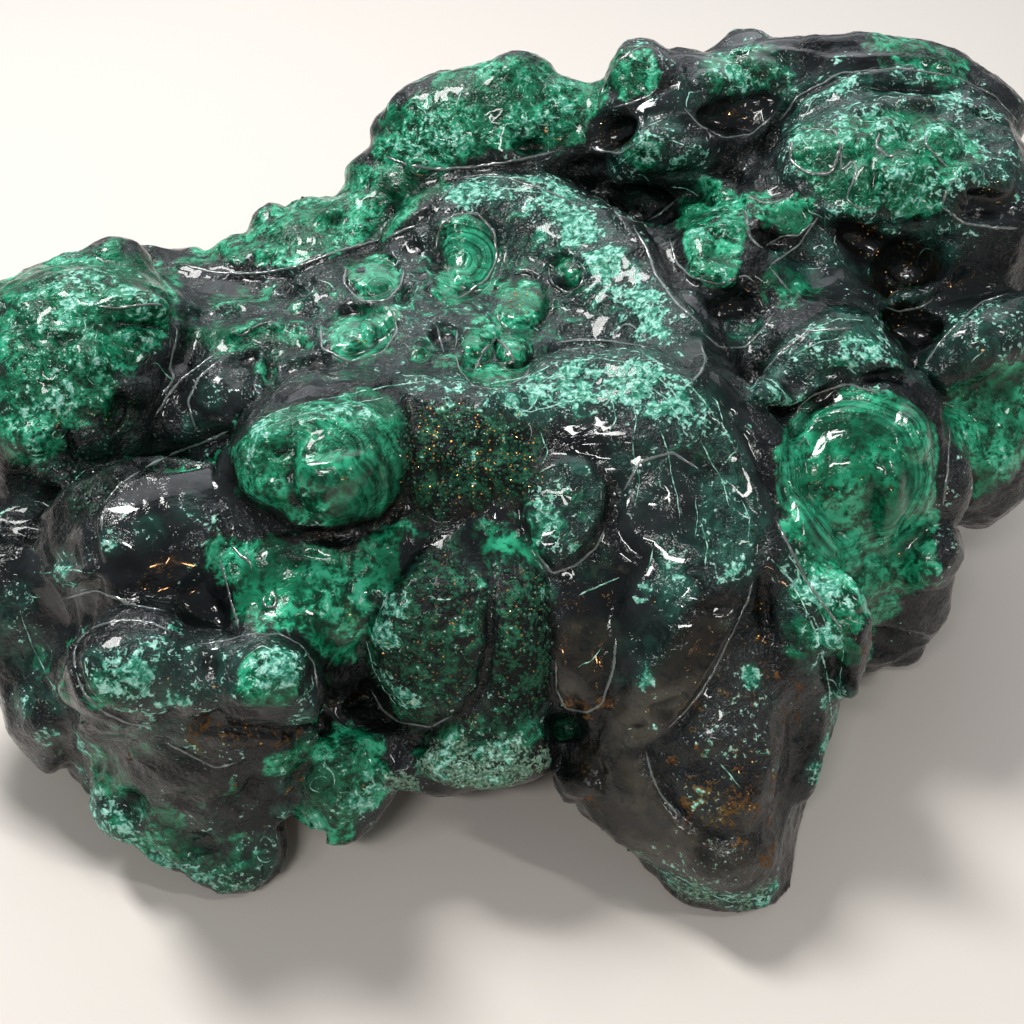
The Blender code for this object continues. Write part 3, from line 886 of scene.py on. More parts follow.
# -----------------------------------------------------------------------------------------------------------
# The sides, back and underside that the camera doesn't see carry the same growth: beads and dimples of the
# same mineral, scattered by chance in the sizes that the front has.
GROWTH_SEED = 7
HIDDEN_BEADS = 150
EVERY_SINKS = 4  # one bead in so many is a dimple
TOP_OF_SIGHT = 0.12
START_OUT, START_SPREAD = 170, (60, 40, 20)
WORN_HEIGHT = 4  # nothing grows on the worn base below this, mm
chance = np.random.default_rng(GROWTH_SEED)


def around(count):
    """Points of the skin that the camera doesn't see, from all round."""
    found = []
    centre = LOW + (SIZE - 1) * VOXEL / 2
    while len(found) < count:
        way = chance.normal(size=3)
        way /= np.linalg.norm(way)
        start = centre + way * START_OUT + chance.uniform(-1, 1, 3) * START_SPREAD
        point = first_skin(start, -way)
        if point is None:
            continue
        normal = skin_normal(point)
        to_eye = (EYE - point) / np.linalg.norm(EYE - point)
        if normal @ to_eye > TOP_OF_SIGHT or point[2] < WORN_HEIGHT:
            continue
        found.append((point, normal))
    return found


def frame_round(normal):
    side = np.cross(normal, (0.31, 0.2, 0.93))
    side /= np.linalg.norm(side)
    return np.array([side, np.cross(normal, side), normal])


for number, (point, normal) in enumerate(around(HIDDEN_BEADS)):
    radius = chance.uniform(2.2, 7.5)
    sizes = radius * np.array([chance.uniform(0.8, 1.5), chance.uniform(0.7, 1.1), 0.75])
    sinks = number % EVERY_SINKS == EVERY_SINKS - 1
    sign, blend, lift = (-1, 1.4, 0.25) if sinks else (1, 1.1, -0.35)
    middle = point + normal * radius * lift
    part, points = window(middle - sizes.max() - 3, middle + sizes.max() + 3)
    distance = ellipsoid_distance(points, middle, frame_round(normal), sizes)
    field[part] = sign * run_together(sign * field[part], distance, blend)

# Nothing grows below the worn base or past the size of the solid.
BOX_LOW = np.array(CAD_BOX[0]) / MM
BOX_HIGH = np.array(CAD_BOX[1]) / MM
for axis in range(3):
    shape = [1, 1, 1]
    shape[axis] = SIZE[axis]
    along = (LOW[axis] + VOXEL * np.arange(SIZE[axis])).reshape(shape)
    field = np.maximum(field, (BOX_LOW[axis] - along).astype(np.float32))
    field = np.maximum(field, (along - BOX_HIGH[axis]).astype(np.float32))

# -----------------------------------------------------------------------------------------------------------
# Skin of the lump: wet malachite, from beaded green to smooth black. The field is skinned, its fine relief
# is raised, it is thinned to a mesh that can be kept, and its kinds of surface are drawn on as attributes.
SKIN_TRIANGLES = 197000


def largest_body(points, quads):
    """Drops crumbs that float free of the lump."""
    label = np.arange(len(points))
    while True:
        lowest = label[quads].min(axis=1)
        before = label.copy()
        for corner in range(4):
            np.minimum.at(label, quads[:, corner], lowest)
        label = label[label]
        if np.array_equal(label, before):
            break
    names, counts = np.unique(label, return_counts=True)
    keep = label == names[counts.argmax()]
    renumber = np.cumsum(keep) - 1
    return points[keep], renumber[quads[keep[quads].all(axis=1)]]


def chance_at(cells, seed):
    """A repeatable number from 0 to 1 for each cell of a lattice."""
    mixed = cells[..., 0] * 73856093 ^ cells[..., 1] * 19349663 ^ cells[..., 2] * 83492791
    mixed = mixed ^ seed * 2654435761
    mixed = (mixed ^ (mixed >> 15)) * 2246822519 & 0xFFFFFFFF
    mixed = (mixed ^ (mixed >> 13)) * 3266489917 & 0xFFFFFFFF
    return ((mixed ^ (mixed >> 16)) & 0xFFFFFF) / 0xFFFFFF


def uneven(points, size, seed):
    """Smooth random values from -1 to 1 that change over the given size in mm."""
    at = points / size
    base = np.floor(at).astype(np.int64)
    part = at - base
    part = part * part * (3 - 2 * part)
    total = np.zeros(len(points))
    for corner in np.ndindex(2, 2, 2):
        weight = np.prod(np.where(corner, part, 1 - part), axis=1)
        total += weight * chance_at(base + np.array(corner), seed)
    return total * 2 - 1


def rough(points, size, seed, octaves=3):
    total = np.zeros(len(points))
    for octave in range(octaves):
        total += uneven(points + 31.7 * octave, size / 2**octave, seed + octave) / 2**octave
    return total / (2 - 0.5 ** (octaves - 1))


def beaded(points, size, seed):
    """Rounded beads packed side by side: 1 on the crown of a bead and 0 in the gaps between them."""
    at = points / size
    base = np.floor(at).astype(np.int64)
    nearest = np.full(len(points), 9.0)
    for step in np.ndindex(3, 3, 3):
        cell = base + np.array(step) - 1
        heart = cell + np.stack([chance_at(cell, seed + part) for part in range(3)], axis=1)
        nearest = np.minimum(nearest, ((at - heart) ** 2).sum(axis=1))
    return np.clip(1 - nearest / 0.75, 0, 1)


DAB_REACH, DAB_FADE = 1.35, 0.7  # where a dab ends and how wide it fades, in its own radius


def spread(dabs, points, wobble=0.0):
    """How strongly each point is covered by dabs: for each strength, the pixels and radii of its dabs."""
    total = np.zeros(len(points))
    for strength, spots in dabs.items():
        for u, v, radius in spots:
            middle, scale = seen(u, v)
            if middle is None:
                continue
            away = np.linalg.norm(points - middle, axis=1) / (radius * scale)
            level = np.clip((DAB_REACH - away + wobble) / DAB_FADE, 0, 1)
            total = np.maximum(total, strength * level * level * (3 - 2 * level))
    return total


whole = openvdb.FloatGrid(BAND)
whole.copyFromArray(field, ijk=tuple(int(step) for step in FIRST))
whole.transform = openvdb.createLinearTransform(voxelSize=VOXEL)
skin_points, _, skin_quads = whole.convertToPolygons(isovalue=0.0, adaptivity=0.0)
skin_points, skin_quads = largest_body(np.array(skin_points, float), np.array(skin_quads, int))
quad_corners = skin_points[skin_quads]
facing = np.cross(quad_corners[:, 2] - quad_corners[:, 0], quad_corners[:, 3] - quad_corners[:, 1])
if (quad_corners[:, 0] * facing).sum() < 0:
    skin_quads = skin_quads[:, ::-1]


def normals_at(points):
    step = FINE_NORMAL_STEP * np.eye(3)
    slopes = np.stack([sample(field, points + way) - sample(field, points - way) for way in step], axis=1)
    return slopes / np.maximum(np.linalg.norm(slopes, axis=1, keepdims=True), TINY)


# Where each kind of surface lies: outlines with a strength and an edge in pixels, and dabs.
BOULDER = ((0, 280), (50, 252), (120, 246), (168, 268), (176, 310), (160, 350), (120, 368), (110, 420),
           (60, 430), (0, 440))
BACK_BOULDER = ((365, 160), (385, 115), (440, 68), (510, 54), (590, 52), (612, 80), (600, 120),
                (560, 150), (480, 160), (410, 172))
SLOPE_BACK = ((170, 262), (240, 228), (330, 165), (400, 160), (450, 180), (420, 212), (380, 238),
              (300, 264))
SLOPE_BAND = ((190, 322), (300, 316), (320, 350), (230, 356), (180, 350))
SLOPE_FACE = ((226, 545), (270, 532), (330, 556), (380, 530), (405, 525), (404, 570), (370, 620),
              (345, 660), (316, 650), (300, 634), (236, 628))
GLASSY = ((776, 500), (774, 450), (796, 412), (840, 388), (890, 392), (936, 420), (942, 480), (936, 540),
          (944, 575), (915, 596), (870, 612), (842, 640), (812, 592), (786, 545))
FAR_KNOB = ((608, 60), (620, 44), (650, 48), (662, 72), (650, 96), (624, 100), (610, 82))
ROSETTES = ((676, 200), (700, 180), (732, 186), (748, 214), (740, 262), (736, 292), (706, 286), (684, 258))
BEADS = ((790, 130), (840, 118), (900, 110), (960, 124), (984, 160), (950, 190), (900, 214), (850, 214),
         (800, 180))
POCKET_GREENS = (
    ((348, 262), (372, 254), (396, 264), (402, 284), (384, 302), (358, 300), (346, 284)),
    ((322, 320), (344, 310), (388, 304), (398, 322), (386, 348), (358, 364), (334, 354)),
    ((438, 222), (466, 214), (496, 226), (502, 256), (490, 292), (456, 304), (428, 296), (446, 262)),
    ((496, 284), (524, 272), (550, 288), (550, 320), (526, 336), (500, 322)),
    ((462, 340), (482, 318), (520, 324), (536, 350), (522, 384), (490, 392), (464, 372)),
    ((552, 266), (568, 260), (582, 272), (578, 292), (560, 294)),
)
VELVET_FACE = ((404, 404), (459, 400), (505, 418), (538, 440), (547, 478), (528, 504), (501, 497),
               (482, 513), (459, 504), (440, 523), (412, 513), (403, 470))
ARCH = ((440, 190), (480, 174), (540, 176), (590, 200), (628, 250), (668, 310), (680, 350), (640, 340),
        (600, 290), (560, 240), (500, 206), (452, 214))
CROWN = ((480, 388), (540, 356), (600, 344), (660, 354), (706, 388), (738, 440), (740, 480), (700, 450),
         (640, 420), (580, 410), (520, 420), (470, 408))
CHEEK = ((690, 470), (740, 470), (764, 510), (762, 552), (738, 590), (716, 560), (700, 510))
NODULE_TOP = ((232, 450), (250, 418), (300, 402), (366, 390), (402, 402), (404, 424), (340, 420),
              (290, 436), (250, 470))
FOOT_CENTRE = ((110, 780), (170, 764), (250, 772), (262, 810), (230, 850), (180, 862), (130, 830))
DOME_BELOW = ((616, 470), (660, 450), (700, 460), (716, 520), (700, 600), (660, 640), (616, 700),
              (600, 640), (612, 560))
RIB_FILM = ((673, 640), (690, 614), (735, 604), (725, 650), (704, 686), (687, 710), (661, 737),
            (636, 750), (612, 742), (610, 705), (640, 690))
TOP_HAZE = ((180, 300), (260, 286), (400, 250), (440, 190), (560, 190), (640, 270), (690, 350),
            (600, 330), (540, 380), (420, 374), (330, 370), (240, 380), (180, 360))
FILM_BAND = ((384, 524), (440, 527), (482, 517), (530, 507), (550, 520), (553, 576), (500, 572),
             (489, 583), (459, 530), (420, 554), (390, 588))
DOME_MINT = ((656, 540), (690, 545), (692, 600), (676, 632), (658, 610))
CREST_MINT = ((698, 470), (744, 470), (766, 520), (752, 572), (716, 590), (700, 560))
TEAL_STREAKS = ((776, 582), (800, 590), (822, 640), (824, 680), (800, 676), (780, 640))
DARK_POOLS = (
    ((693, 112), (716, 100), (760, 92), (783, 98), (770, 122), (745, 138), (716, 128)),
    ((590, 120), (620, 112), (640, 120), (630, 140), (606, 152), (590, 146)),
    ((614, 188), (640, 184), (672, 190), (676, 204), (655, 220), (632, 216)),
    ((702, 292), (730, 288), (754, 298), (740, 316), (716, 318)),
    ((824, 228), (850, 218), (880, 236), (906, 250), (930, 272), (926, 292), (900, 286), (880, 270),
     (850, 262)),
    ((880, 312), (905, 304), (944, 318), (936, 340), (912, 352), (890, 338)),
    ((955, 192), (985, 190), (1022, 196), (1022, 222), (985, 224), (958, 212)),
)
OUTLINED = {
    "green": ((BOULDER, 1.0, 14), (BACK_BOULDER, 0.95, 10), (SLOPE_BACK, 1.0, 8), (SLOPE_BAND, 0.7, 8),
              (SLOPE_FACE, 1.0, 10), (GLASSY, 1.0, 5), (FAR_KNOB, 1.0, 5), (ROSETTES, 1.0, 5),
              (BEADS, 1.0, 8), (NODULE, 0.85, 7), (LENS, 1.0, 3), (LEFT_LOBE, 0.45, 8),
              (RIGHT_LOBE, 0.55, 8), (PLAQUE, 0.85, 4), (VELVET_FACE, 0.50, 12), (FILM_BAND, 0.55, 12),
              (TOP_HAZE, 0.36, 20), *((outline, 1.0, 4) for outline in POCKET_GREENS)),
    "mint": ((CROWN, 0.70, 16), (CHEEK, 0.50, 10), (ARCH, 0.92, 14), (HEART, 0.50, 5), (BROW, 0.62, 10),
             (NODULE_TOP, 0.55, 8), (GREAT_DOME, 0.55, 12), (BEADS, 0.54, 12), (BOULDER, 0.54, 16),
             (BACK_BOULDER, 0.50, 16), (RIGHT_RIDGE, 0.42, 10), (LEFT_LOBE, 0.30, 10),
             (DOME_MINT, 0.75, 6), (CREST_MINT, 0.66, 8), (TEAL_STREAKS, 0.50, 6), (ROSETTES, 0.46, 8),
             (SLOPE_BACK, 0.40, 10), (TOP_HAZE, 0.34, 20)),
    "velvet": ((VELVET_FACE, 0.95, 14), (LEFT_LOBE, 0.62, 12), (RIGHT_LOBE, 0.80, 8),
               (BOULDER_FACE, 0.30, 12)),
    "rust": ((TONGUE, 0.55, 14),),
    "pale": (),
    "dun": ((LOW_LOBE, 1.0, 8), (TOOTH, 0.9, 4), (RIB_FILM, 1.0, 6), (FOOT_CENTRE, 0.15, 8)),
    "film": ((LENS, 1.0, 4), (GLASSY, 0.75, 6), (SLOPE_FACE, 0.85, 10), (TOOTH, 0.9, 4),
             (DARK_FACET, 0.9, 6), (FILM_SHEET, 1.0, 8), (LOW_LOBE, 0.8, 10), (RIB_FILM, 1.0, 6),
             (DOME_BELOW, 0.9, 10), (FILM_BAND, 0.9, 5), *((outline, 0.8, 3) for outline in POCKET_GREENS)),
    "glint": ((VELVET_FACE, 0.85, 12), (LEFT_LOBE, 0.32, 8), (RIGHT_LOBE, 0.34, 8)),
    "pool": tuple((outline, 1.0, 4) for outline in DARK_POOLS),
    "ringed": ((NODULE, 0.6, 8), (GLASSY, 0.8, 8), *((outline, 1.0, 4) for outline in POCKET_GREENS)),
}
DABS = {
    "green": {
        1.0: ((266, 375, 14), (421, 354, 12), (870, 610, 34)),
        0.9: ((980, 450, 56), (920, 190, 30), (345, 775, 50), (270, 680, 34), (840, 600, 26)),
        0.8: ((262, 440, 34), (370, 405, 40), (810, 590, 22), (1000, 400, 50), (320, 830, 36),
            (845, 650, 18)),
        0.75: ((110, 770, 40),),
        0.7: ((20, 430, 45), (370, 640, 44), (560, 730, 20), (640, 150, 24), (230, 560, 30),
            (290, 760, 26), (90, 790, 22), (490, 760, 50)),
        0.65: ((160, 835, 46),),
        0.6: ((940, 60, 40), (900, 45, 40), (905, 275, 20), (240, 300, 40), (110, 690, 34), (120, 830, 24),
            (230, 875, 34), (440, 755, 44), (745, 75, 50), (800, 640, 24)),
        0.5: ((450, 360, 20), (520, 735, 30), (60, 690, 24), (790, 290, 34)),
        0.4: ((560, 510, 40), (830, 340, 40), (40, 660, 24), (240, 862, 46), (130, 740, 36),
            (735, 330, 30), (900, 260, 30)),
        0.35: ((215, 800, 40),),
        0.3: ((800, 860, 20), (600, 380, 60), (170, 470, 30), (700, 440, 40)),
        0.25: ((700, 620, 40),),
    },
    "mint": {
        0.9: ((842, 690, 16), (836, 715, 15), (826, 745, 15)),
        0.88: ((818, 775, 15),),
        0.85: ((384, 640, 22), (382, 672, 20), (404, 700, 20), (82, 745, 16), (86, 775, 16), (92, 805, 17),
            (106, 830, 18), (810, 802, 14)),
        0.82: ((812, 590, 24), (826, 640, 20)),
        0.8: ((281, 668, 30), (222, 880, 20), (252, 876, 18), (802, 838, 14), (794, 872, 16),
            (768, 892, 18), (735, 898, 20)),
        0.75: ((834, 700, 16), (162, 858, 18), (192, 872, 18), (700, 892, 20)),
        0.72: ((121, 677, 32),),
        0.7: ((800, 565, 24), (392, 605, 18), (644, 586, 8), (750, 678, 13), (668, 876, 18)),
        0.66: ((96, 790, 14),),
        0.65: ((830, 740, 14),),
        0.62: ((745, 75, 52), (800, 112, 34), (850, 92, 34), (644, 680, 14), (92, 750, 13), (102, 762, 30),
            (248, 868, 36)),
        0.6: ((450, 382, 26), (500, 390, 26), (650, 140, 34), (840, 600, 18), (130, 842, 16),
            (116, 818, 34), (500, 752, 34), (274, 846, 16), (288, 778, 18)),
        0.55: ((420, 384, 22), (95, 665, 22), (300, 700, 18), (845, 326, 38), (915, 88, 38),
            (975, 115, 38), (60, 572, 26), (448, 765, 32), (20, 700, 20), (50, 740, 18), (286, 812, 16)),
        0.5: ((150, 645, 26), (690, 165, 26), (1005, 160, 32), (880, 215, 34), (830, 245, 26),
            (840, 220, 22), (420, 570, 16), (545, 590, 14), (212, 395, 14), (192, 424, 12), (500, 720, 28),
            (960, 325, 34), (300, 790, 14), (545, 245, 24), (300, 720, 16), (285, 760, 18), (245, 885, 18),
            (640, 290, 24), (178, 862, 34), (345, 790, 44), (305, 745, 26), (8, 620, 20), (60, 700, 18)),
        0.45: ((240, 690, 20), (250, 645, 20), (620, 165, 24), (20, 600, 20), (1000, 310, 26),
            (615, 680, 10), (734, 780, 8), (670, 320, 16), (160, 684, 40), (35, 665, 20), (795, 270, 30),
            (860, 255, 30)),
        0.4: ((136, 705, 22), (940, 230, 36), (538, 540, 14), (10, 650, 22), (30, 690, 18), (110, 540, 16),
            (465, 690, 14), (602, 640, 10), (480, 225, 24), (722, 754, 8), (790, 820, 14), (590, 300, 20),
            (40, 450, 24), (870, 620, 14), (905, 300, 30), (540, 720, 18), (250, 330, 36), (30, 640, 18),
            (745, 335, 26), (690, 330, 22)),
        0.36: ((205, 832, 28),),
        0.35: ((512, 430, 26), (200, 655, 20), (445, 600, 14), (150, 530, 20), (350, 745, 24),
            (700, 90, 30), (370, 770, 20), (90, 455, 20), (30, 500, 16), (215, 664, 36), (640, 470, 40),
            (170, 740, 34)),
        0.34: ((468, 432, 44),),
        0.3: ((190, 505, 20), (770, 700, 14), (155, 800, 10), (960, 430, 24), (1000, 470, 24),
            (330, 620, 30), (590, 560, 26), (690, 560, 40)),
        0.28: ((210, 690, 24),),
        0.25: ((600, 640, 26), (660, 640, 34)),
    },
    "velvet": {
        0.6: ((520, 440, 22),),
        0.5: ((480, 730, 22),),
        0.4: ((110, 440, 44), (90, 490, 40), (60, 460, 34), (300, 545, 20), (345, 770, 30)),
        0.3: ((130, 400, 30),),
    },
    "rust": {
        0.9: ((590, 708, 12), (606, 700, 12), (584, 716, 10)),
        0.8: ((566, 700, 10), (730, 820, 34), (388, 712, 8)),
        0.75: ((234, 734, 20), (592, 800, 14), (722, 800, 28)),
        0.72: ((700, 800, 22),),
        0.7: ((205, 738, 26), (290, 736, 20), (300, 774, 12), (690, 790, 24), (792, 690, 22),
            (470, 715, 10)),
        0.65: ((762, 790, 26),),
        0.62: ((790, 720, 20),),
        0.6: ((262, 742, 20), (256, 830, 14), (288, 790, 9), (586, 770, 10), (770, 820, 24),
            (740, 730, 16), (770, 850, 26), (636, 700, 10), (650, 706, 8), (870, 640, 18), (480, 745, 18),
            (862, 650, 10)),
        0.55: ((128, 758, 12), (740, 700, 40), (700, 700, 24), (762, 730, 26)),
        0.5: ((188, 828, 12), (708, 724, 20), (330, 700, 12)),
        0.4: ((165, 735, 18), (215, 860, 10), (800, 660, 14), (900, 600, 10), (65, 760, 16),
            (312, 690, 10), (505, 755, 14), (310, 560, 8)),
        0.35: ((150, 770, 20), (690, 860, 26), (215, 780, 30)),
        0.3: ((40, 700, 20), (355, 600, 8)),
    },
    "pale": {
        1.0: ((470, 776, 38),),
        0.95: ((505, 766, 34),),
        0.9: ((402, 784, 24), (545, 760, 20), (438, 770, 32)),
        0.8: ((690, 888, 34), (760, 896, 34)),
        0.75: ((710, 900, 22), (750, 908, 22)),
        0.7: ((225, 886, 20), (796, 868, 20), (642, 858, 20), (830, 720, 16), (668, 884, 20)),
        0.65: ((785, 895, 18),),
        0.6: ((252, 884, 16), (640, 866, 16), (830, 740, 9), (838, 690, 9), (850, 625, 12)),
        0.5: ((190, 876, 16), (345, 805, 26), (380, 784, 22), (860, 600, 10), (62, 750, 14)),
        0.45: ((86, 760, 12), (45, 710, 18), (78, 680, 10)),
        0.42: ((720, 868, 34),),
        0.4: ((660, 850, 20), (560, 784, 14), (85, 650, 10), (100, 706, 10), (305, 820, 16)),
        0.35: ((460, 755, 30),),
    },
    "dun": {
        0.9: ((620, 790, 44),),
        0.8: ((590, 760, 20),),
        0.7: ((435, 715, 24),),
        0.6: ((140, 715, 16),),
        0.5: ((720, 870, 60), (560, 640, 10), (60, 740, 20)),
        0.3: ((480, 770, 60),),
        0.25: ((190, 745, 40),),
        0.2: ((320, 800, 40),),
        0.15: ((740, 700, 60),),
    },
    "film": {
        1.0: ((155, 510, 46), (205, 480, 34), (130, 560, 40), (185, 590, 34), (648, 235, 16),
            (710, 350, 28), (725, 390, 24), (745, 440, 26), (762, 500, 24), (650, 110, 18), (820, 290, 24),
            (960, 300, 36), (400, 560, 20), (900, 280, 40), (735, 420, 26)),
        0.9: ((320, 375, 34), (290, 395, 26), (690, 300, 18), (680, 104, 24), (710, 58, 30), (760, 45, 36),
            (850, 60, 40), (430, 712, 22), (585, 440, 30), (600, 600, 34), (250, 590, 30), (170, 350, 20)),
        0.8: ((205, 395, 38), (610, 175, 18), (935, 345, 30), (200, 655, 24), (270, 710, 16),
            (480, 545, 40)),
        0.7: ((60, 600, 36), (30, 570, 30), (230, 290, 26), (440, 345, 22), (985, 330, 30), (950, 80, 36)),
        0.6: ((240, 660, 18), (170, 700, 20), (560, 600, 22), (70, 590, 40), (530, 410, 40)),
        0.5: ((875, 330, 30),),
    },
    # Orange-gold specks in the pools and hollows, partly painted glints of warm light on the wet mineral.
    "glint": {
        1.0: ((886, 236, 9), (904, 246, 8), (894, 286, 9), (916, 268, 11), (918, 312, 8), (898, 320, 8),
            (728, 114, 8), (608, 134, 8), (645, 204, 8), (865, 228, 8), (768, 600, 10), (762, 640, 14),
            (475, 718, 12)),
        0.8: ((905, 285, 20), (400, 500, 10), (749, 762, 8)),
        0.7: ((210, 684, 12), (744, 800, 16)),
        0.6: ((283, 500, 12), (870, 240, 24), (525, 300, 20), (650, 600, 8)),
        0.5: ((735, 116, 20), (610, 134, 14), (645, 204, 10), (255, 736, 16), (360, 345, 14),
            (990, 190, 14), (380, 520, 10), (480, 365, 14), (60, 410, 16)),
        0.4: ((120, 410, 24),),
        0.3: ((920, 100, 40),),
    },
    "pool": {
        0.9: ((774, 239, 8),),
        0.8: ((790, 385, 14), (360, 268, 8), (348, 312, 9), (414, 250, 9), (420, 276, 7), (250, 362, 9),
            (436, 338, 9)),
        0.7: ((826, 394, 12), (180, 366, 12)),
    },
    "ringed": {
        1.0: ((350, 336, 30), (452, 262, 34), (380, 286, 20)),
    },
}
LOOK_STEP, LOOK_MARGIN = 4, 8
look_line = np.arange(-LOOK_MARGIN, PICTURE + LOOK_MARGIN + LOOK_STEP, LOOK_STEP, dtype=float)
look_ahead = depths_seen(*np.meshgrid(look_line, look_line, indexing="ij"))


BEHIND, BEHIND_FADE, OUT_FADE = 6, 4, 60  # mm, mm and pixels


def shown_share(across, down, ahead):
    """1 on the skin that the camera sees, 0 on what is hidden or out of the picture."""
    column = np.clip(np.round((across + LOOK_MARGIN) / LOOK_STEP).astype(int), 0, len(look_line) - 1)
    row = np.clip(np.round((down + LOOK_MARGIN) / LOOK_STEP).astype(int), 0, len(look_line) - 1)
    out = np.maximum(np.abs(across - PICTURE / 2), np.abs(down - PICTURE / 2)) - PICTURE / 2
    in_sight = np.clip((look_ahead[column, row] + BEHIND - ahead) / BEHIND_FADE, 0, 1)
    return in_sight * np.clip(1 - out / OUT_FADE, 0, 1)


WOBBLE_PIXELS, EDGE_WIDENING = 55, 1.6


def cover(name, points, wobble=0.0):
    """How strongly a kind of surface covers each point, where the camera sees it."""
    across, down, ahead = pixels_of(points)
    total = np.zeros(len(points))
    for outline, strength, edge in OUTLINED[name]:
        width = EDGE_WIDENING * edge
        level = step_up(depth_inside(outline, across, down) + WOBBLE_PIXELS * wobble, -width, width)
        total = np.maximum(total, strength * level)
    return np.maximum(total, spread(DABS[name], points, wobble)) * shown_share(across, down, ahead)


normals = normals_at(skin_points)
SHAPED_BY = ("film", "velvet", "green", "pale", "rust", "mint", "pool")
film, velvet, green, pale, rust, crust, pool = (cover(name, skin_points) for name in SHAPED_BY)
open_skin = 1 - film
relief = 0.42 * rough(skin_points, 6.0, 3) * (0.5 + 0.5 * open_skin)
relief += 0.24 * rough(skin_points, 3.4, 5, 2) * (0.6 + 0.4 * open_skin)
relief += 0.40 * rough(skin_points, 2.4, 11, 3) * open_skin
relief += 0.50 * (beaded(skin_points, 2.6, 21) - 0.5) * np.clip(green * 0.7 + pale - film, 0, 1)
relief += 0.35 * (beaded(skin_points, 1.3, 31) - 0.5) * np.clip(velvet + pale + 0.5 * rust - film, 0, 1)
relief += 0.16 * crust * open_skin
relief = relief * (1 - 0.8 * pool) - 0.35 * pool
relief *= np.clip(skin_points[:, 2] / 2.0, 0, 1)
skin_points += normals * relief[:, None]
skin_points = np.clip(skin_points, BOX_LOW, BOX_HIGH)


def placed_object(name, data):
    body = bpy.data.objects.new(name, data)
    bpy.context.scene.collection.objects.link(body)
    return body


def made_plain(body, name):
    """Makes a modifier's result a plain mesh, kept inside the solid's box, and returns its corners in m."""
    made = bpy.data.meshes.new_from_object(body.evaluated_get(bpy.context.evaluated_depsgraph_get()))
    body.modifiers.clear()
    body.data = made
    body.data.name = name
    corners = np.empty(len(made.vertices) * 3, np.float32)
    made.vertices.foreach_get("co", corners)
    corners = np.clip(corners.reshape(-1, 3), BOX_LOW * MM, BOX_HIGH * MM).astype(np.float32)
    made.vertices.foreach_set("co", corners.ravel())
    return corners


lump_mesh = bpy.data.meshes.new("malachite_skin")
lump_mesh.from_pydata((skin_points * MM).tolist(), [], skin_quads.tolist())
lump = placed_object("malachite_lump", lump_mesh)
thin = lump.modifiers.new("thin_out", "DECIMATE")
thin.ratio = SKIN_TRIANGLES / (2 * len(skin_quads))
points = made_plain(lump, "malachite_lump").astype(float) / MM

# Colours of the skin follow the same places, drawn on the thinned mesh and kept as attributes.
HIDDEN_SEED = 50
across, down, ahead = pixels_of(points)
hidden = 1 - shown_share(across, down, ahead)
crest = sample(blurred(field, 10), points)
wobble = 0.22 * rough(points, 3.5, 71)
patches = rough(points, 26.0, HIDDEN_SEED)
spots = rough(points, 11.0, HIDDEN_SEED + 9)
low = np.clip(1 - points[:, 2] / 24, 0, 1)
WILD = {
    "green": 0.5 + 1.5 * patches + 0.4 * spots,
    "mint": (0.10 + 1.4 * spots + 3 * (crest - 0.15)) * (1 - 0.6 * low),
    "rust": 1.6 * rough(points, 15.0, HIDDEN_SEED + 20) + 0.9 * low - 0.5,
    "pale": 1.5 * rough(points, 12.0, HIDDEN_SEED + 30) + 1.1 * low - 0.8,
    "velvet": 2.0 * rough(points, 18.0, HIDDEN_SEED + 40) - 0.3,
    "film": 1.5 * rough(points, 20.0, HIDDEN_SEED + 60) + 0.1 - low,
    "dun": 1.6 * rough(points, 17.0, HIDDEN_SEED + 70) + 0.6 * low - 0.4,
    "glint": 1.5 * rough(points, 18.0, HIDDEN_SEED + 40) - 0.5,
}


def keep(name, values):
    layer = lump.data.attributes.new(name, "FLOAT", "POINT")
    layer.data.foreach_set("value", np.clip(values, 0, 1).astype(np.float32))


pool = cover("pool", points, 0.5 * wobble)
for name, wild in WILD.items():
    cleared = pool * (name != "glint")
    values = cover(name, points, wobble) * (1 - cleared) + hidden * np.clip(wild, 0, 0.85)
    if name == "film":
        values = np.maximum(values, pool)
    keep(name, values)
    if name == "mint":
        mint_values = np.clip(values, 0, 1)
keep("crest", 0.5 + crest / 1.6)

# Banding: the lens of the nodule, the glassy lobe and the pocket nodules grew in shells round these points.
SHELLS = {
    "nodule": ((290, 500), 118, 10, 0.62),
    "glassy": ((852, 478), 96, 14, 0.72),
    "crescent": ((452, 262), 46, 8, 0.2),
    "heart": ((350, 336), 34, 8, 0.2),
    "bean": ((380, 286), 24, 6, 0.2),
}
shell_depth = np.zeros(len(points))
shell_cover = np.zeros(len(points))
for spot, radius, sunk, plain_core in SHELLS.values():
    middle, scale = seen(*spot)
    heart = middle - skin_normal(middle) * sunk * scale
    away = np.linalg.norm(points - heart, axis=1)
    nearby = np.clip((radius * scale - away) / 2.5 + 1, 0, 1)
    nearby = nearby * step_up(away / (radius * scale), plain_core - 0.2, plain_core)
    shell_depth = np.where(nearby > shell_cover, away, shell_depth)
    shell_cover = np.maximum(nearby, shell_cover)
keep("shell_depth", shell_depth / 20)
keep("shell_cover", shell_cover * cover("ringed", points, wobble))
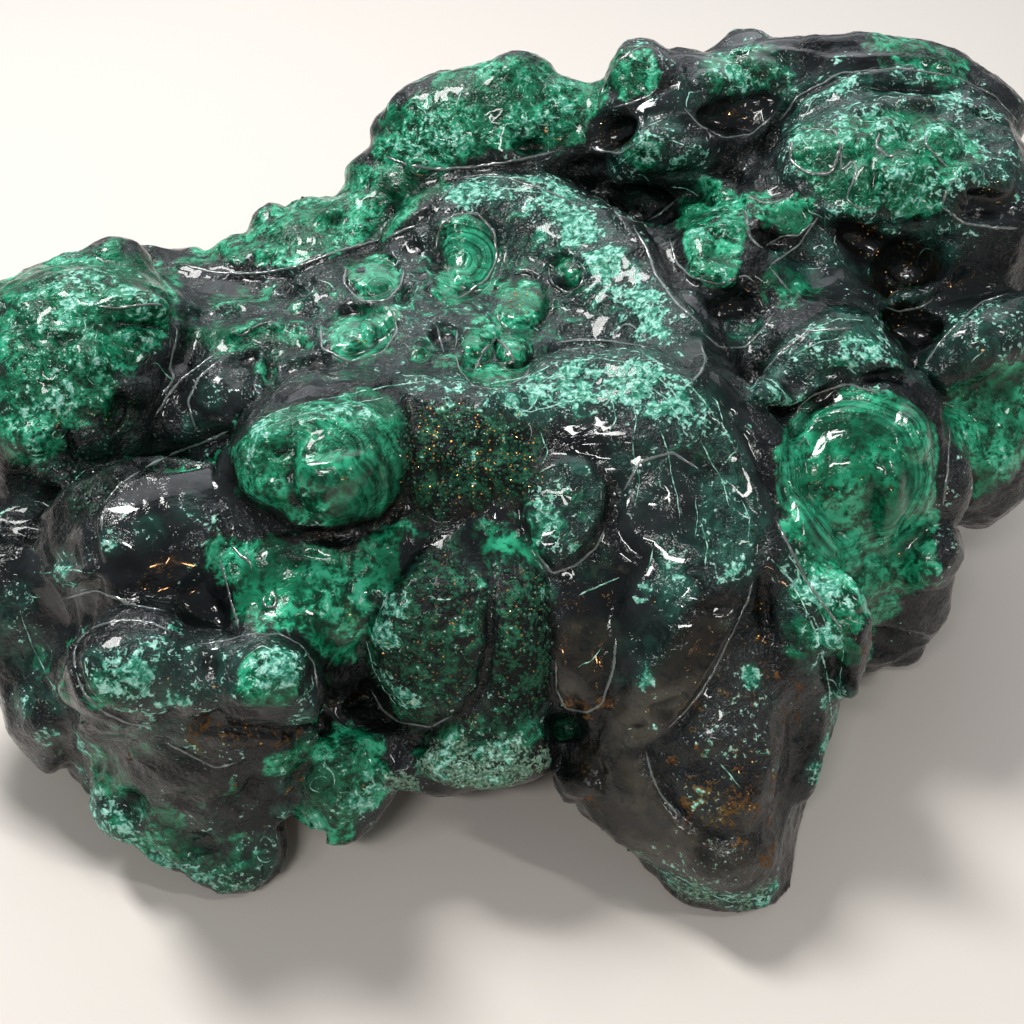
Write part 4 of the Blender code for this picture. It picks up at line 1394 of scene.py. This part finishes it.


# The finish: wet mineral. Near-black skin, emerald where it is solid malachite, mint crust in flecks on the
# crests, a velvety crust with orange-gold specks that are partly painted glints, rust and pale crust low
# down, a film in the hollows, and painted shade that darkens the deepest hollows.
class Nodes:
    """Adds nodes to one tree, so that a line of arithmetic is a line here."""

    def __init__(self, tree):
        self.tree = tree

    def put(self, kind, values=(), **settings):
        node = self.tree.nodes.new(kind)
        for name, value in settings.items():
            setattr(node, name, value)
        for key, value in dict(values).items():
            if isinstance(value, bpy.types.NodeSocket):
                self.tree.links.new(value, node.inputs[key])
            else:
                node.inputs[key].default_value = value
        return node

    def math(self, operation, *values):
        return self.put("ShaderNodeMath", enumerate(values), operation=operation).outputs[0]

    def times(self, *values):
        return self.math("MULTIPLY", *values)

    def plus(self, *values):
        return self.math("ADD", *values)

    def step(self, value, low, high, to_low=0.0, to_high=1.0):
        made = self.put("ShaderNodeMapRange", {0: value, 1: low, 2: high, 3: to_low, 4: to_high})
        made.interpolation_type = "SMOOTHSTEP"
        return made.outputs[0]

    def mix(self, share, low, high):
        return self.put("ShaderNodeMix", {0: share, 6: low, 7: high}, data_type="RGBA").outputs[2]

    def noise(self, place, size_mm, detail, coarse, warp=0.0):
        values = {"Vector": place, "Scale": 1 / (size_mm * MM), "Detail": detail}
        return self.put("ShaderNodeTexNoise", {**values, "Roughness": coarse, "Distortion": warp}).outputs[0]

    def attribute(self, name):
        return self.put("ShaderNodeAttribute", attribute_name=name).outputs["Fac"]

    def shade(self, shader, **values):
        for name, value in values.items():
            socket = shader.inputs[name.replace("_", " ")]
            if isinstance(value, bpy.types.NodeSocket):
                self.tree.links.new(value, socket)
            else:
                socket.default_value = value


def flecks_group():
    """Flecks cut out of a grainy field: more of them, and larger ones, as Cover rises."""
    group = bpy.data.node_groups.new("crust_flecks", "ShaderNodeTree")
    for name in ("Grain", "Cover", "Edge"):
        group.interface.new_socket(name, in_out="INPUT", socket_type="NodeSocketFloat")
    group.interface.new_socket("Flecks", in_out="OUTPUT", socket_type="NodeSocketFloat")
    nodes = Nodes(group)
    inside = nodes.put("NodeGroupInput").outputs
    edge = nodes.put("ShaderNodeMapRange", {0: inside["Cover"], 3: 0.70, 4: 0.41}).outputs[0]
    flecks = nodes.step(inside["Grain"], edge, nodes.plus(edge, inside["Edge"]))
    flecks = nodes.times(flecks, nodes.step(inside["Cover"], 0.03, 0.15))
    group.links.new(flecks, nodes.put("NodeGroupOutput").inputs["Flecks"])
    return group


CRUST_FLECKS = flecks_group()
BLACK_SKIN = (0.0024, 0.0033, 0.0037, 1)
GREY_SKIN = (0.015, 0.019, 0.0205, 1)
DEEP_GREEN = (0.0014, 0.028, 0.013, 1)
EMERALD = (0.006, 0.20, 0.094, 1)
BRIGHT_EMERALD = (0.055, 0.52, 0.30, 1)
CLOUD = (0.022, 0.105, 0.078, 1)
GREENISH = (0.012, 0.16, 0.095, 1)
MINT = (0.11, 0.42, 0.315, 1)
PALE_MINT = (0.40, 0.70, 0.60, 1)
RUSTY = (0.050, 0.024, 0.009, 1)
OCHRE = (0.145, 0.068, 0.018, 1)
MUSTARD = (0.15, 0.125, 0.028, 1)
SAGE = (0.070, 0.17, 0.115, 1)
CHALKY = (0.23, 0.36, 0.27, 1)
DUN = (0.018, 0.016, 0.0115, 1)
PALE_DUN = (0.060, 0.055, 0.042, 1)
VELVET_LOW = (0.0014, 0.0040, 0.0028, 1)
VELVET_HIGH = (0.014, 0.095, 0.050, 1)
# Orange-gold of the metal specks, partly a painted glint of warm light.
GLINT = (0.80, 0.42, 0.10, 1)
# Painted shade for the deepest hollows.
PAINTED_HOLLOW_SHADE = (0.002, 0.0035, 0.003, 1)


def new_finish(name):
    """A material with nodes: what adds to its tree, and its main shader."""
    material = bpy.data.materials.new(name)
    material.use_nodes = True
    return material, Nodes(material.node_tree), material.node_tree.nodes["Principled BSDF"]


wet_malachite, nodes, main_shader = new_finish("wet_malachite")
place = nodes.put("ShaderNodeTexCoord").outputs["Object"]
green, mint, velvet, rusty = (nodes.attribute(name) for name in ("green", "mint", "velvet", "rust"))
pale, film_share, dun, glinting = (nodes.attribute(name) for name in ("pale", "film", "dun", "glint"))
crest_share, depth, shells = (nodes.attribute(name) for name in ("crest", "shell_depth", "shell_cover"))


def flecks(grain, cover, edge):
    made = nodes.put("ShaderNodeGroup", node_tree=CRUST_FLECKS)
    nodes.shade(made, Grain=grain, Cover=cover, Edge=edge)
    return made.outputs[0]


drift = nodes.noise(place, 9.0, 2.0, 0.6, 0.4)
mottle = nodes.noise(place, 2.6, 3.0, 0.66, 0.6)
fleck = nodes.noise(place, 0.95, 2.0, 0.66, 0.3)
grain = nodes.noise(place, 0.42, 1.0, 0.6)
coarse_grain = nodes.plus(nodes.times(mottle, 0.60), nodes.times(fleck, 0.40))
fine_grain = nodes.plus(nodes.times(fleck, 0.62), nodes.times(grain, 0.38))
skin = nodes.mix(nodes.step(drift, 0.35, 0.68), BLACK_SKIN, GREY_SKIN)
cloudy = nodes.times(nodes.step(mint, 0.0, 0.75, 0.0, 0.8), nodes.step(mottle, 0.40, 0.62, 0.25, 1.0))
skin = nodes.mix(cloudy, skin, CLOUD)

ring_place = nodes.plus(nodes.times(depth, 20.0), nodes.times(drift, 2.4))
ring_values = {"W": ring_place, "Scale": 1.1, "Detail": 3.0, "Roughness": 0.7}
rings = nodes.put("ShaderNodeTexNoise", ring_values, noise_dimensions="1D")
solid_green = nodes.mix(nodes.step(coarse_grain, 0.38, 0.58), DEEP_GREEN, EMERALD)
bright = nodes.times(nodes.step(drift, 0.42, 0.60), nodes.step(coarse_grain, 0.46, 0.60))
solid_green = nodes.mix(nodes.times(bright, 0.9), solid_green, BRIGHT_EMERALD)
solid_green = nodes.mix(nodes.step(drift, 0.48, 0.34, 0.0, 0.7), solid_green, DEEP_GREEN)
banded = nodes.mix(nodes.step(rings.outputs[0], 0.36, 0.62), DEEP_GREEN, BRIGHT_EMERALD)
solid_green = nodes.mix(nodes.times(shells, nodes.step(mottle, 0.38, 0.62, 0.25, 0.6)), solid_green, banded)
green_edge = nodes.plus(green, nodes.times(nodes.math("SUBTRACT", mottle, 0.5), 1.2))
colour = nodes.mix(nodes.step(green_edge, 0.34, 0.70), skin, solid_green)

dun_colour = nodes.mix(nodes.step(drift, 0.40, 0.62), DUN, PALE_DUN)
colour = nodes.mix(nodes.times(dun, nodes.step(coarse_grain, 0.38, 0.52, 0.3, 0.95)), colour, dun_colour)
velvet_colour = nodes.mix(nodes.step(coarse_grain, 0.46, 0.60), VELVET_LOW, VELVET_HIGH)
colour = nodes.mix(nodes.step(velvet, 0.2, 0.8, 0.0, 0.95), colour, velvet_colour)

rust_body = flecks(coarse_grain, nodes.times(rusty, 0.95), 0.05)
rust_colour = nodes.mix(nodes.step(fleck, 0.42, 0.60), RUSTY, OCHRE)
rust_colour = nodes.mix(nodes.step(drift, 0.52, 0.62, 0.0, 0.6), rust_colour, MUSTARD)
colour = nodes.mix(nodes.times(rust_body, 0.85), colour, rust_colour)
pale_body = flecks(fine_grain, nodes.times(pale, 1.05), 0.06)
pale_colour = nodes.mix(nodes.step(grain, 0.40, 0.66), SAGE, CHALKY)
colour = nodes.mix(nodes.times(pale_body, 0.9), colour, pale_colour)

mint_cover = nodes.math("MAXIMUM", mint, nodes.step(drift, 0.46, 0.64, 0.0, 0.36))
mint_cover = nodes.times(mint_cover, nodes.step(crest_share, 0.30, 0.62, 0.6, 1.1))
mint_cover = nodes.times(mint_cover, nodes.step(drift, 0.36, 0.60, 0.55, 1.25))
mint_flecks = flecks(coarse_grain, mint_cover, 0.05)
mint_dust = flecks(fine_grain, nodes.times(mint_cover, 0.85), 0.05)
mint_all = nodes.math("MAXIMUM", mint_flecks, nodes.times(mint_dust, 0.75))
mint_colour = nodes.mix(nodes.step(fleck, 0.40, 0.60), GREENISH, MINT)
mint_colour = nodes.mix(nodes.step(fine_grain, 0.50, 0.64), mint_colour, PALE_MINT)
colour = nodes.mix(mint_all, colour, mint_colour)

# Orange-gold specks in the base colour: partly metal grains, partly painted glints of warm light on the wet
# mineral.
cells = nodes.put("ShaderNodeTexVoronoi", {"Vector": place, "Scale": 1 / (0.55 * MM)})
chosen = nodes.put("ShaderNodeSeparateColor", {0: cells.outputs["Color"]}).outputs[0]
glint = nodes.times(nodes.step(cells.outputs["Distance"], 0.30, 0.18), nodes.step(chosen, 0.80, 0.83))
glint = nodes.times(glint, nodes.step(glinting, 0.1, 0.7))
colour = nodes.mix(glint, colour, GLINT)
# Painted shade: the deepest hollows, where crest_share is low, are darkened towards near-black.
colour = nodes.mix(nodes.step(crest_share, 0.40, 0.10, 0.0, 0.8), colour, PAINTED_HOLLOW_SHADE)

crusty = nodes.math("MAXIMUM", pale_body, nodes.times(rust_body, 0.8))
crusty = nodes.math("MAXIMUM", nodes.times(velvet, 0.95), crusty)
crusty = nodes.math("MAXIMUM", crusty, nodes.times(mint_all, 0.55))
open_share = nodes.math("SUBTRACT", 1.0, nodes.times(film_share, 0.9))
dry = nodes.times(open_share, nodes.step(fleck, 0.35, 0.7, 0.0, 0.22))
roughness = nodes.plus(nodes.step(crusty, 0.0, 1.0, 0.14, 0.62), dry)
coat = nodes.times(nodes.step(crusty, 0.05, 0.75, 0.9, 0.04), nodes.step(open_share, 0.1, 1.0, 1.0, 0.5))
height = nodes.times(open_share, nodes.plus(nodes.times(mottle, 0.72), nodes.times(fleck, 0.34)))
height = nodes.plus(height, nodes.times(nodes.times(grain, 0.20), nodes.plus(crusty, 0.12)))
height = nodes.plus(height, nodes.plus(nodes.times(mottle, 0.16), nodes.times(drift, 1.3)))
bump = nodes.put("ShaderNodeBump", {"Strength": 1.0, "Distance": 1.0 * MM, "Height": height})
nodes.shade(
    main_shader,
    Base_Color=colour,
    Roughness=roughness,
    Metallic=nodes.times(glint, 0.9),
    Coat_Weight=coat,
    Coat_Roughness=0.045,
    Coat_IOR=1.33,
    IOR=1.30,
    Normal=bump.outputs[0],
)

lump.data.materials.clear()
lump.data.materials.append(wet_malachite)
lump.data.shade_smooth()
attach(lump, "root")
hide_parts("malachite")

# -----------------------------------------------------------------------------------------------------------
# Fine crust on the lump: wet rims round pools and lobes, thin veins of mint malachite and crystal grains.
# Small growths on the one skin: the rims and veins are tubes laid along it, half sunk, and the grains are
# scattered over it by Geometry Nodes and made real. The rims' light grey colour is a painted highlight along
# the wet edges, and the gold grains in the pools are partly painted glints of warm light.
RIMS = (
    ((602, 194), (618, 215), (640, 223), (658, 215), (680, 197)),
    ((633, 226), (647, 248), (655, 274), (676, 303), (702, 325)),
    ((669, 237), (676, 263), (691, 277), (720, 285), (745, 275), (758, 285)),
    ((548, 268), (552, 284), (566, 293), (581, 286), (585, 270), (576, 258)),
    ((436, 250), (440, 226), (456, 214), (478, 214), (494, 232), (498, 258), (487, 280), (451, 303)),
    ((704, 334), (720, 348), (745, 348), (760, 332), (775, 312)),
    ((611, 339), (625, 323), (636, 328), (651, 346)),
    ((556, 343), (580, 340), (607, 341), (630, 344), (651, 348)),
    ((458, 328), (455, 350), (460, 370), (473, 386), (498, 390), (527, 376), (534, 350)),
    ((474, 372), (484, 350), (498, 338), (510, 352), (520, 372)),
    ((436, 322), (442, 345), (448, 366)),
    ((436, 204), (462, 177), (495, 174), (545, 190), (580, 206)),
    ((96, 306), (120, 308), (150, 304), (174, 306)),
    ((168, 321), (178, 330), (170, 366), (174, 378), (159, 400)),
    ((155, 417), (168, 396), (182, 378), (204, 362), (220, 351)),
    ((229, 332), (242, 336), (254, 327), (271, 321), (284, 325), (289, 319)),
    ((320, 323), (322, 349), (348, 361), (382, 353), (397, 332), (394, 306)),
    ((348, 262), (344, 284), (362, 302), (388, 300), (402, 284), (404, 264)),
    ((182, 264), (212, 272), (255, 274), (293, 268), (339, 251), (380, 240), (420, 224)),
    ((272, 288), (278, 296), (288, 294), (292, 284)),
    ((296, 290), (304, 298), (314, 292), (314, 282)),
    ((102, 535), (102, 506), (119, 485), (145, 468), (170, 455), (205, 442), (232, 430)),
    ((779, 122), (798, 96), (841, 73), (896, 68), (955, 76), (995, 96), (1021, 125)),
    ((792, 135), (798, 128), (834, 130), (841, 148), (831, 174), (808, 174), (790, 161), (792, 135)),
    ((841, 148), (841, 171), (854, 161), (857, 171), (846, 200), (860, 210), (877, 207)),
    ((924, 125), (926, 145), (942, 161), (949, 171)),
    ((880, 128), (876, 146), (890, 158), (900, 150)),
    ((942, 207), (949, 184), (966, 174)),
    ((942, 207), (962, 223), (995, 228), (1022, 228)),
    ((883, 304), (894, 292), (912, 288), (930, 292), (934, 299), (918, 308), (898, 312), (884, 306)),
    ((736, 181), (749, 197), (765, 204), (788, 200)),
    ((744, 207), (749, 236), (762, 249), (782, 236), (798, 236), (815, 220)),
    ((769, 266), (784, 256), (798, 246), (821, 213)),
    ((769, 266), (780, 280), (792, 295)),
    ((752, 387), (779, 354), (808, 331), (857, 328)),
    ((923, 367), (936, 348), (949, 331), (981, 302), (1020, 290)),
    ((790, 425), (800, 406), (815, 394), (847, 384), (883, 394)),
    ((76, 672), (74, 652), (80, 638), (96, 626), (121, 620), (150, 622), (176, 634)),
    ((196, 644), (220, 642), (250, 634), (280, 634), (300, 644), (314, 662), (318, 690)),
    ((76, 672), (84, 694), (104, 712), (130, 724), (158, 726)),
    ((165, 742), (190, 755), (216, 768), (240, 762)),
    ((556, 660), (556, 690), (565, 708), (586, 713), (602, 704), (614, 668), (616, 636)),
    ((371, 690), (382, 710), (398, 722), (431, 727), (455, 714)),
    ((536, 552), (552, 574), (575, 566), (596, 548), (606, 526)),
    ((753, 580), (748, 600), (737, 623), (724, 650), (713, 673), (700, 694), (687, 710), (664, 732)),
    ((646, 752), (652, 775), (661, 795), (682, 819)),
    ((220, 560), (226, 580), (232, 606), (240, 632)),
    ((232, 545), (240, 556), (250, 562), (252, 574)),
    ((268, 592), (276, 596), (276, 606), (266, 608), (262, 600), (268, 592)),
    ((690, 384), (700, 374), (706, 360), (700, 342)),
    ((196, 432), (188, 400), (200, 376), (222, 358)),
    ((600, 100), (604, 86), (612, 70), (622, 58), (642, 46), (660, 50), (664, 70)),
    ((610, 108), (628, 104), (650, 96), (660, 84)),
    ((684, 108), (700, 126), (724, 138), (752, 134), (774, 114)),
    ((596, 150), (620, 154), (640, 140), (646, 124)),
    ((384, 156), (410, 166), (440, 170), (480, 166), (520, 160), (560, 150)),
    ((776, 520), (790, 548), (806, 580), (824, 606), (846, 634)),
    ((940, 400), (950, 430), (948, 470), (942, 510)),
    ((60, 600), (96, 590), (130, 604), (170, 612)),
    ((700, 470), (672, 452), (640, 462), (622, 494)),
)
VEINS = (
    ((632, 390), (636, 420), (632, 450), (640, 480), (634, 510)),
    ((660, 430), (668, 450), (672, 476), (678, 500), (680, 522)),
    ((695, 498), (698, 518), (694, 540)),
    ((577, 597), (590, 590), (606, 583), (622, 576)),
    ((653, 548), (650, 562), (645, 577)),
    ((250, 426), (280, 410), (320, 400), (360, 392), (400, 384), (440, 380), (490, 384), (530, 376),
     (560, 360)),
    ((246, 436), (276, 424), (310, 412), (350, 404), (392, 396)),
    ((530, 366), (560, 350), (600, 346), (640, 352), (676, 372), (702, 398), (722, 428)),
    ((560, 360), (600, 358), (640, 366), (670, 388), (696, 420)),
    ((600, 372), (640, 380), (668, 400), (684, 430)),
    ((536, 386), (552, 376), (580, 380)),
    ((700, 440), (712, 462), (724, 484), (730, 510)),
    ((770, 556), (790, 580), (806, 610), (818, 640), (828, 680), (832, 720)),
    ((784, 548), (800, 572), (816, 600), (828, 630)),
    ((786, 344), (810, 330), (840, 318), (870, 322)),
    ((792, 356), (820, 342), (850, 336)),
    ((366, 640), (372, 665), (384, 690), (398, 708)),
    ((390, 590), (380, 612), (372, 632)),
    ((716, 760), (728, 772), (742, 790)),
    ((610, 170), (640, 150), (670, 140), (700, 150)),
    ((458, 186), (480, 176), (520, 178), (560, 188), (592, 206)),
    ((470, 196), (500, 188), (540, 192), (580, 212), (606, 240)),
    ((40, 574), (70, 570), (100, 574)),
    ((84, 660), (90, 690), (112, 712)),
    ((20, 610), (30, 640), (44, 670), (60, 700)),
    ((646, 862), (684, 884), (730, 902), (776, 896)),
    ((660, 870), (700, 886), (750, 896)),
    ((836, 620), (844, 650), (838, 690), (834, 730), (824, 780)),
    ((96, 840), (130, 856), (170, 872), (210, 890), (250, 896)),
    ((500, 405), (530, 412), (560, 404), (590, 396)),
    ((540, 430), (548, 452), (540, 470)),
    ((612, 400), (616, 420), (606, 436)),
    ((700, 520), (708, 545), (704, 570)),
    ((742, 500), (750, 520), (748, 545)),
)
RIM_RADIUS, VEIN_RADIUS = 0.20, 0.08
LAID_STEP, WAVER = 2.5, 0.4  # how far apart a rim's or vein's points lie and how much they stray, pixels
GAP = 2.2  # a line is broken where the skin jumps by more than this, mm
SCRIBBLE_STEP = 0.34
SCRIBBLE_SEED, SCRIBBLES = 12, 300
TUBE_SIDES = 5
TUBE_WIDE, TUBE_HIGH, TUBE_SUNK = 1.25, 0.9, 0.25  # in the tube's radius


def landed(u, v):
    """Where the sight line through a pixel meets the finished skin, in mm, and which way it faces there."""
    hit, place, normal, _ = lump.ray_cast(Vector(EYE * MM), Vector(sight_line(u, v)))
    return (np.array(place) / MM, np.array(normal)) if hit else (None, None)


def laid_path(path, seed, stray=1.0):
    """The skin under a line of pixels, in stretches that don't jump across a gap."""
    spots = np.array(path, float)
    chance = np.random.default_rng(seed)
    stretches, current = [], []
    for a, b in zip(spots[:-1], spots[1:]):
        steps = max(1, int(np.linalg.norm(b - a) / LAID_STEP))
        for step in range(steps):
            spot = a + (b - a) * step / steps + chance.normal(0, stray, 2) * WAVER
            point, normal = landed(*spot)
            if point is None or (current and np.linalg.norm(point - current[-1][0]) > GAP):
                stretches.append(current)
                current = []
            if point is not None:
                current.append((point, normal))
    return [stretch for stretch in [*stretches, current] if len(stretch) > 4]


def tubes_piece(name, stretches, radius, seed, material):
    """One mesh of thin, uneven, half-sunk tubes that taper at both ends."""
    corners, faces = [], []
    chance = np.random.default_rng(seed)
    for stretch in stretches:
        points = np.array([point for point, _ in stretch])
        normals = np.array([normal for _, normal in stretch])
        for _ in range(2):
            points[1:-1] = 0.5 * points[1:-1] + 0.25 * (points[:-2] + points[2:])
        ways = np.gradient(points, axis=0)
        ways /= np.maximum(np.linalg.norm(ways, axis=1, keepdims=True), 1e-9)
        sides = np.cross(ways, normals)
        sides /= np.maximum(np.linalg.norm(sides, axis=1, keepdims=True), 1e-9)
        count = len(points)
        taper = np.clip(np.minimum(np.arange(count), np.arange(count)[::-1]) / 3, 0.05, 1)
        radii = radius * chance.uniform(0.7, 1.25) * taper * np.exp(chance.normal(0, 0.22, count))
        first = len(corners)
        for turn in range(TUBE_SIDES):
            angle = 2 * math.pi * turn / TUBE_SIDES
            ring = sides * math.cos(angle) * TUBE_WIDE + normals * (math.sin(angle) * TUBE_HIGH - TUBE_SUNK)
            corners.extend((points + ring * radii[:, None]).tolist())
        for turn in range(TUBE_SIDES):
            here, beside = first + turn * count, first + (turn + 1) % TUBE_SIDES * count
            faces.extend((here + i, beside + i, beside + i + 1, here + i + 1) for i in range(count - 1))
        faces.append([first + turn * count for turn in range(TUBE_SIDES)][::-1])
        faces.append([first + turn * count + count - 1 for turn in range(TUBE_SIDES)])
    shape = bpy.data.meshes.new(name)
    shape.from_pydata((np.clip(corners, BOX_LOW, BOX_HIGH) * MM).tolist(), [], faces)
    body = bmesh.new()
    body.from_mesh(shape)
    bmesh.ops.recalc_face_normals(body, faces=body.faces)
    body.to_mesh(shape)
    body.free()
    shape.materials.append(material)
    shape.shade_smooth()
    piece = placed_object(name, shape)
    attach(piece, "root")


def scribbles(count, seed):
    """Short wandering lines where mint crust grows, all round the lump."""
    chance = np.random.default_rng(seed)
    found = []
    likely = mint_values**1.5
    starts = chance.choice(len(points), count, p=likely / likely.sum())
    for start in starts:
        spot, way = points[start], chance.normal(size=3)
        stretch = []
        for _ in range(int(chance.integers(5, 18))):
            hit, near, normal, _ = lump.closest_point_on_mesh(Vector(spot * MM))
            spot, normal = np.array(near) / MM, np.array(normal)
            stretch.append((spot, normal))
            way = way + chance.normal(0, 0.35, 3)
            way -= normal * (way @ normal)
            way /= np.linalg.norm(way)
            spot = spot + way * SCRIBBLE_STEP
        found.append(stretch)
    return found


def plain_finish(name, **values):
    material, nodes, shader = new_finish(name)
    nodes.shade(shader, **values)
    return material


mint_vein, vein_nodes, vein_shader = new_finish("mint_vein")
vein_grain = vein_nodes.noise(vein_nodes.put("ShaderNodeTexCoord").outputs["Object"], 0.9, 3.0, 0.65)
vein_colour = vein_nodes.mix(vein_nodes.step(vein_grain, 0.40, 0.62), GREENISH, PALE_MINT)
vein_nodes.shade(vein_shader, Base_Color=vein_colour, Roughness=0.45)
# The rims' grey colour, lighter than the skin, is a painted highlight along the wet edges; the tubes are
# real ridges.
wet_painted_highlight_rim = plain_finish("wet_painted_highlight_rim", Base_Color=(0.10, 0.125, 0.12, 1), Roughness=0.24, IOR=1.6,
                       Coat_Weight=1.0)
green_grain = plain_finish("green_grain", Base_Color=(0.005, 0.055, 0.028, 1), Roughness=0.30, IOR=1.5)
gold_painted_glint_grain = plain_finish("gold_painted_glint_grain", Base_Color=(0.95, 0.52, 0.16, 1), Roughness=0.20, Metallic=1.0)
VEIN_SEED, VEIN_STRAY = 100, 1.6
rim_paths = [stretch for number, path in enumerate(RIMS) for stretch in laid_path(path, number)]
vein_paths = []
for number, path in enumerate(VEINS):
    vein_paths += laid_path(path, VEIN_SEED + number, VEIN_STRAY)
tubes_piece("wet_painted_highlight_rims", rim_paths, RIM_RADIUS, 1, wet_painted_highlight_rim)
tubes_piece("mint_veins", vein_paths + scribbles(SCRIBBLES, SCRIBBLE_SEED), VEIN_RADIUS, 2, mint_vein)


def grains_tree():
    """Scatters faceted grains over the skin, thicker where the named attribute is higher."""
    tree = bpy.data.node_groups.new("crystal_grains", "GeometryNodeTree")
    sockets = {}
    kinds = {"Skin": "Geometry", "Cover": "String", "Most per square metre": "Float", "Smallest": "Float",
             "Largest": "Float", "Seed": "Int", "Finish": "Material"}
    for name, kind in kinds.items():
        socket = tree.interface.new_socket(name, in_out="INPUT", socket_type="NodeSocket" + kind)
        sockets[name] = socket.identifier
    tree.interface.new_socket("Grains", in_out="OUTPUT", socket_type="NodeSocketGeometry")
    nodes = Nodes(tree)
    inside = nodes.put("NodeGroupInput").outputs
    cover = nodes.put("GeometryNodeInputNamedAttribute", {"Name": inside["Cover"]}, data_type="FLOAT")
    thick = nodes.put("ShaderNodeMapRange", {0: cover.outputs["Attribute"], 1: 0.25, 2: 0.9}).outputs[0]
    skin_and_seed = {"Mesh": inside["Skin"], "Seed": inside["Seed"]}
    scatter = nodes.put("GeometryNodeDistributePointsOnFaces", skin_and_seed)
    tree.links.new(nodes.times(thick, inside["Most per square metre"]), scatter.inputs["Density"])
    any_turn = {1: (6.3, 6.3, 6.3), "Seed": inside["Seed"]}
    spin = nodes.put("FunctionNodeRandomValue", any_turn, data_type="FLOAT_VECTOR")
    size = nodes.put("FunctionNodeRandomValue", data_type="FLOAT")
    for key, name in ((2, "Smallest"), (3, "Largest"), ("Seed", "Seed")):
        tree.links.new(inside[name], size.inputs[key])
    crystal = nodes.put("GeometryNodeMeshIcoSphere", {"Radius": 0.5, "Subdivisions": 1}).outputs[0]
    where = {"Points": scatter.outputs["Points"], "Instance": crystal}
    placed = nodes.put("GeometryNodeInstanceOnPoints", where)
    tree.links.new(spin.outputs[0], placed.inputs["Rotation"])
    tree.links.new(size.outputs[1], placed.inputs["Scale"])
    real = nodes.put("GeometryNodeRealizeInstances", {0: placed.outputs[0]}).outputs[0]
    finished = nodes.put("GeometryNodeSetMaterial", {"Geometry": real, "Material": inside["Finish"]})
    tree.links.new(finished.outputs[0], nodes.put("NodeGroupOutput").inputs["Grains"])
    return tree, sockets


GRAINS, GRAIN_SOCKETS = grains_tree()


def grains_piece(name, **inputs):
    body = placed_object(name, lump.data.copy())
    scatter = body.modifiers.new("grains", "NODES")
    scatter.node_group = GRAINS
    for socket, value in inputs.items():
        scatter[GRAIN_SOCKETS[socket.replace("_", " ")]] = value
    made_plain(body, name)
    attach(body, "root")


grains_piece("green_grains", Cover="velvet", Most_per_square_metre=1.7e6, Smallest=0.20 * MM,
             Largest=0.72 * MM, Seed=4, Finish=green_grain)
# Gold grains: metal, and partly painted glints of warm light in the pools and hollows.
grains_piece("gold_painted_glint_grains", Cover="glint", Most_per_square_metre=0.6e6, Smallest=0.14 * MM,
             Largest=0.42 * MM, Seed=9, Finish=gold_painted_glint_grain)

# -----------------------------------------------------------------------------------------------------------
# The stage: a plain pale floor, a pale even room, soft lamps above and behind, and the camera. The lamps are
# plain panels; the small warm one gives the wet hollows their orange sparks.
REACH = 3.0
floor_mesh = bpy.data.meshes.new("floor")
floor_corners = [(-REACH, -REACH, 0), (REACH, -REACH, 0), (REACH, REACH, 0), (-REACH, REACH, 0)]
floor_mesh.from_pydata(floor_corners, [], [(0, 1, 2, 3)])
floor = placed_object("floor", floor_mesh)
floor_mesh.materials.append(plain_finish("pale_floor", Base_Color=(0.60, 0.56, 0.52, 1), Roughness=0.6))

room = bpy.data.worlds.new("room")
bpy.context.scene.world = room
room.use_nodes = True
room.node_tree.nodes["Background"].inputs["Color"].default_value = (0.88, 0.93, 1.0, 1)
room.node_tree.nodes["Background"].inputs["Strength"].default_value = 0.25
bpy.context.scene.view_settings.view_transform = "Standard"


def soft_light(name, place, aim, width, depth, watts, colour):
    light = placed_object(name, bpy.data.lights.new(name, "AREA"))
    light.data.shape = "RECTANGLE"
    light.data.size = width
    light.data.size_y = depth
    light.data.energy = watts
    light.data.color = colour
    light.location = place
    light.rotation_mode = "QUATERNION"
    light.rotation_quaternion = (Vector(aim) - Vector(place)).to_track_quat("-Z", "Y")


soft_light("back_panel", (0.0, 0.55, 0.55), (0, -0.2, 0.0), 0.9, 0.6, 2.45, (0.94, 0.96, 1.0))
soft_light("window", (-0.25, 0.20, 0.60), (0, 0, 0.03), 0.12, 0.20, 4.5, (1.0, 0.99, 0.97))
soft_light("front_strip", (-0.12, -0.42, 0.52), (0, 0, 0.03), 0.16, 0.03, 1.2, (1.0, 0.98, 0.95))
soft_light("side_strip", (0.42, -0.18, 0.50), (0, 0, 0.03), 0.03, 0.14, 0.75, (1.0, 0.97, 0.93))
soft_light("warm_lamp", (0.15, -0.40, 0.12), (0.03, 0, 0.03), 0.02, 0.012, 0.09, (1.0, 0.52, 0.22))

camera = placed_object("camera", bpy.data.cameras.new("camera"))
camera.data.lens = FOCAL
camera.data.sensor_width = SENSOR
camera.data.clip_start = 0.01
camera.location = Vector(EYE) * MM
camera.rotation_euler = (math.radians(90) - TILT, 0, 0)
bpy.context.scene.camera = camera
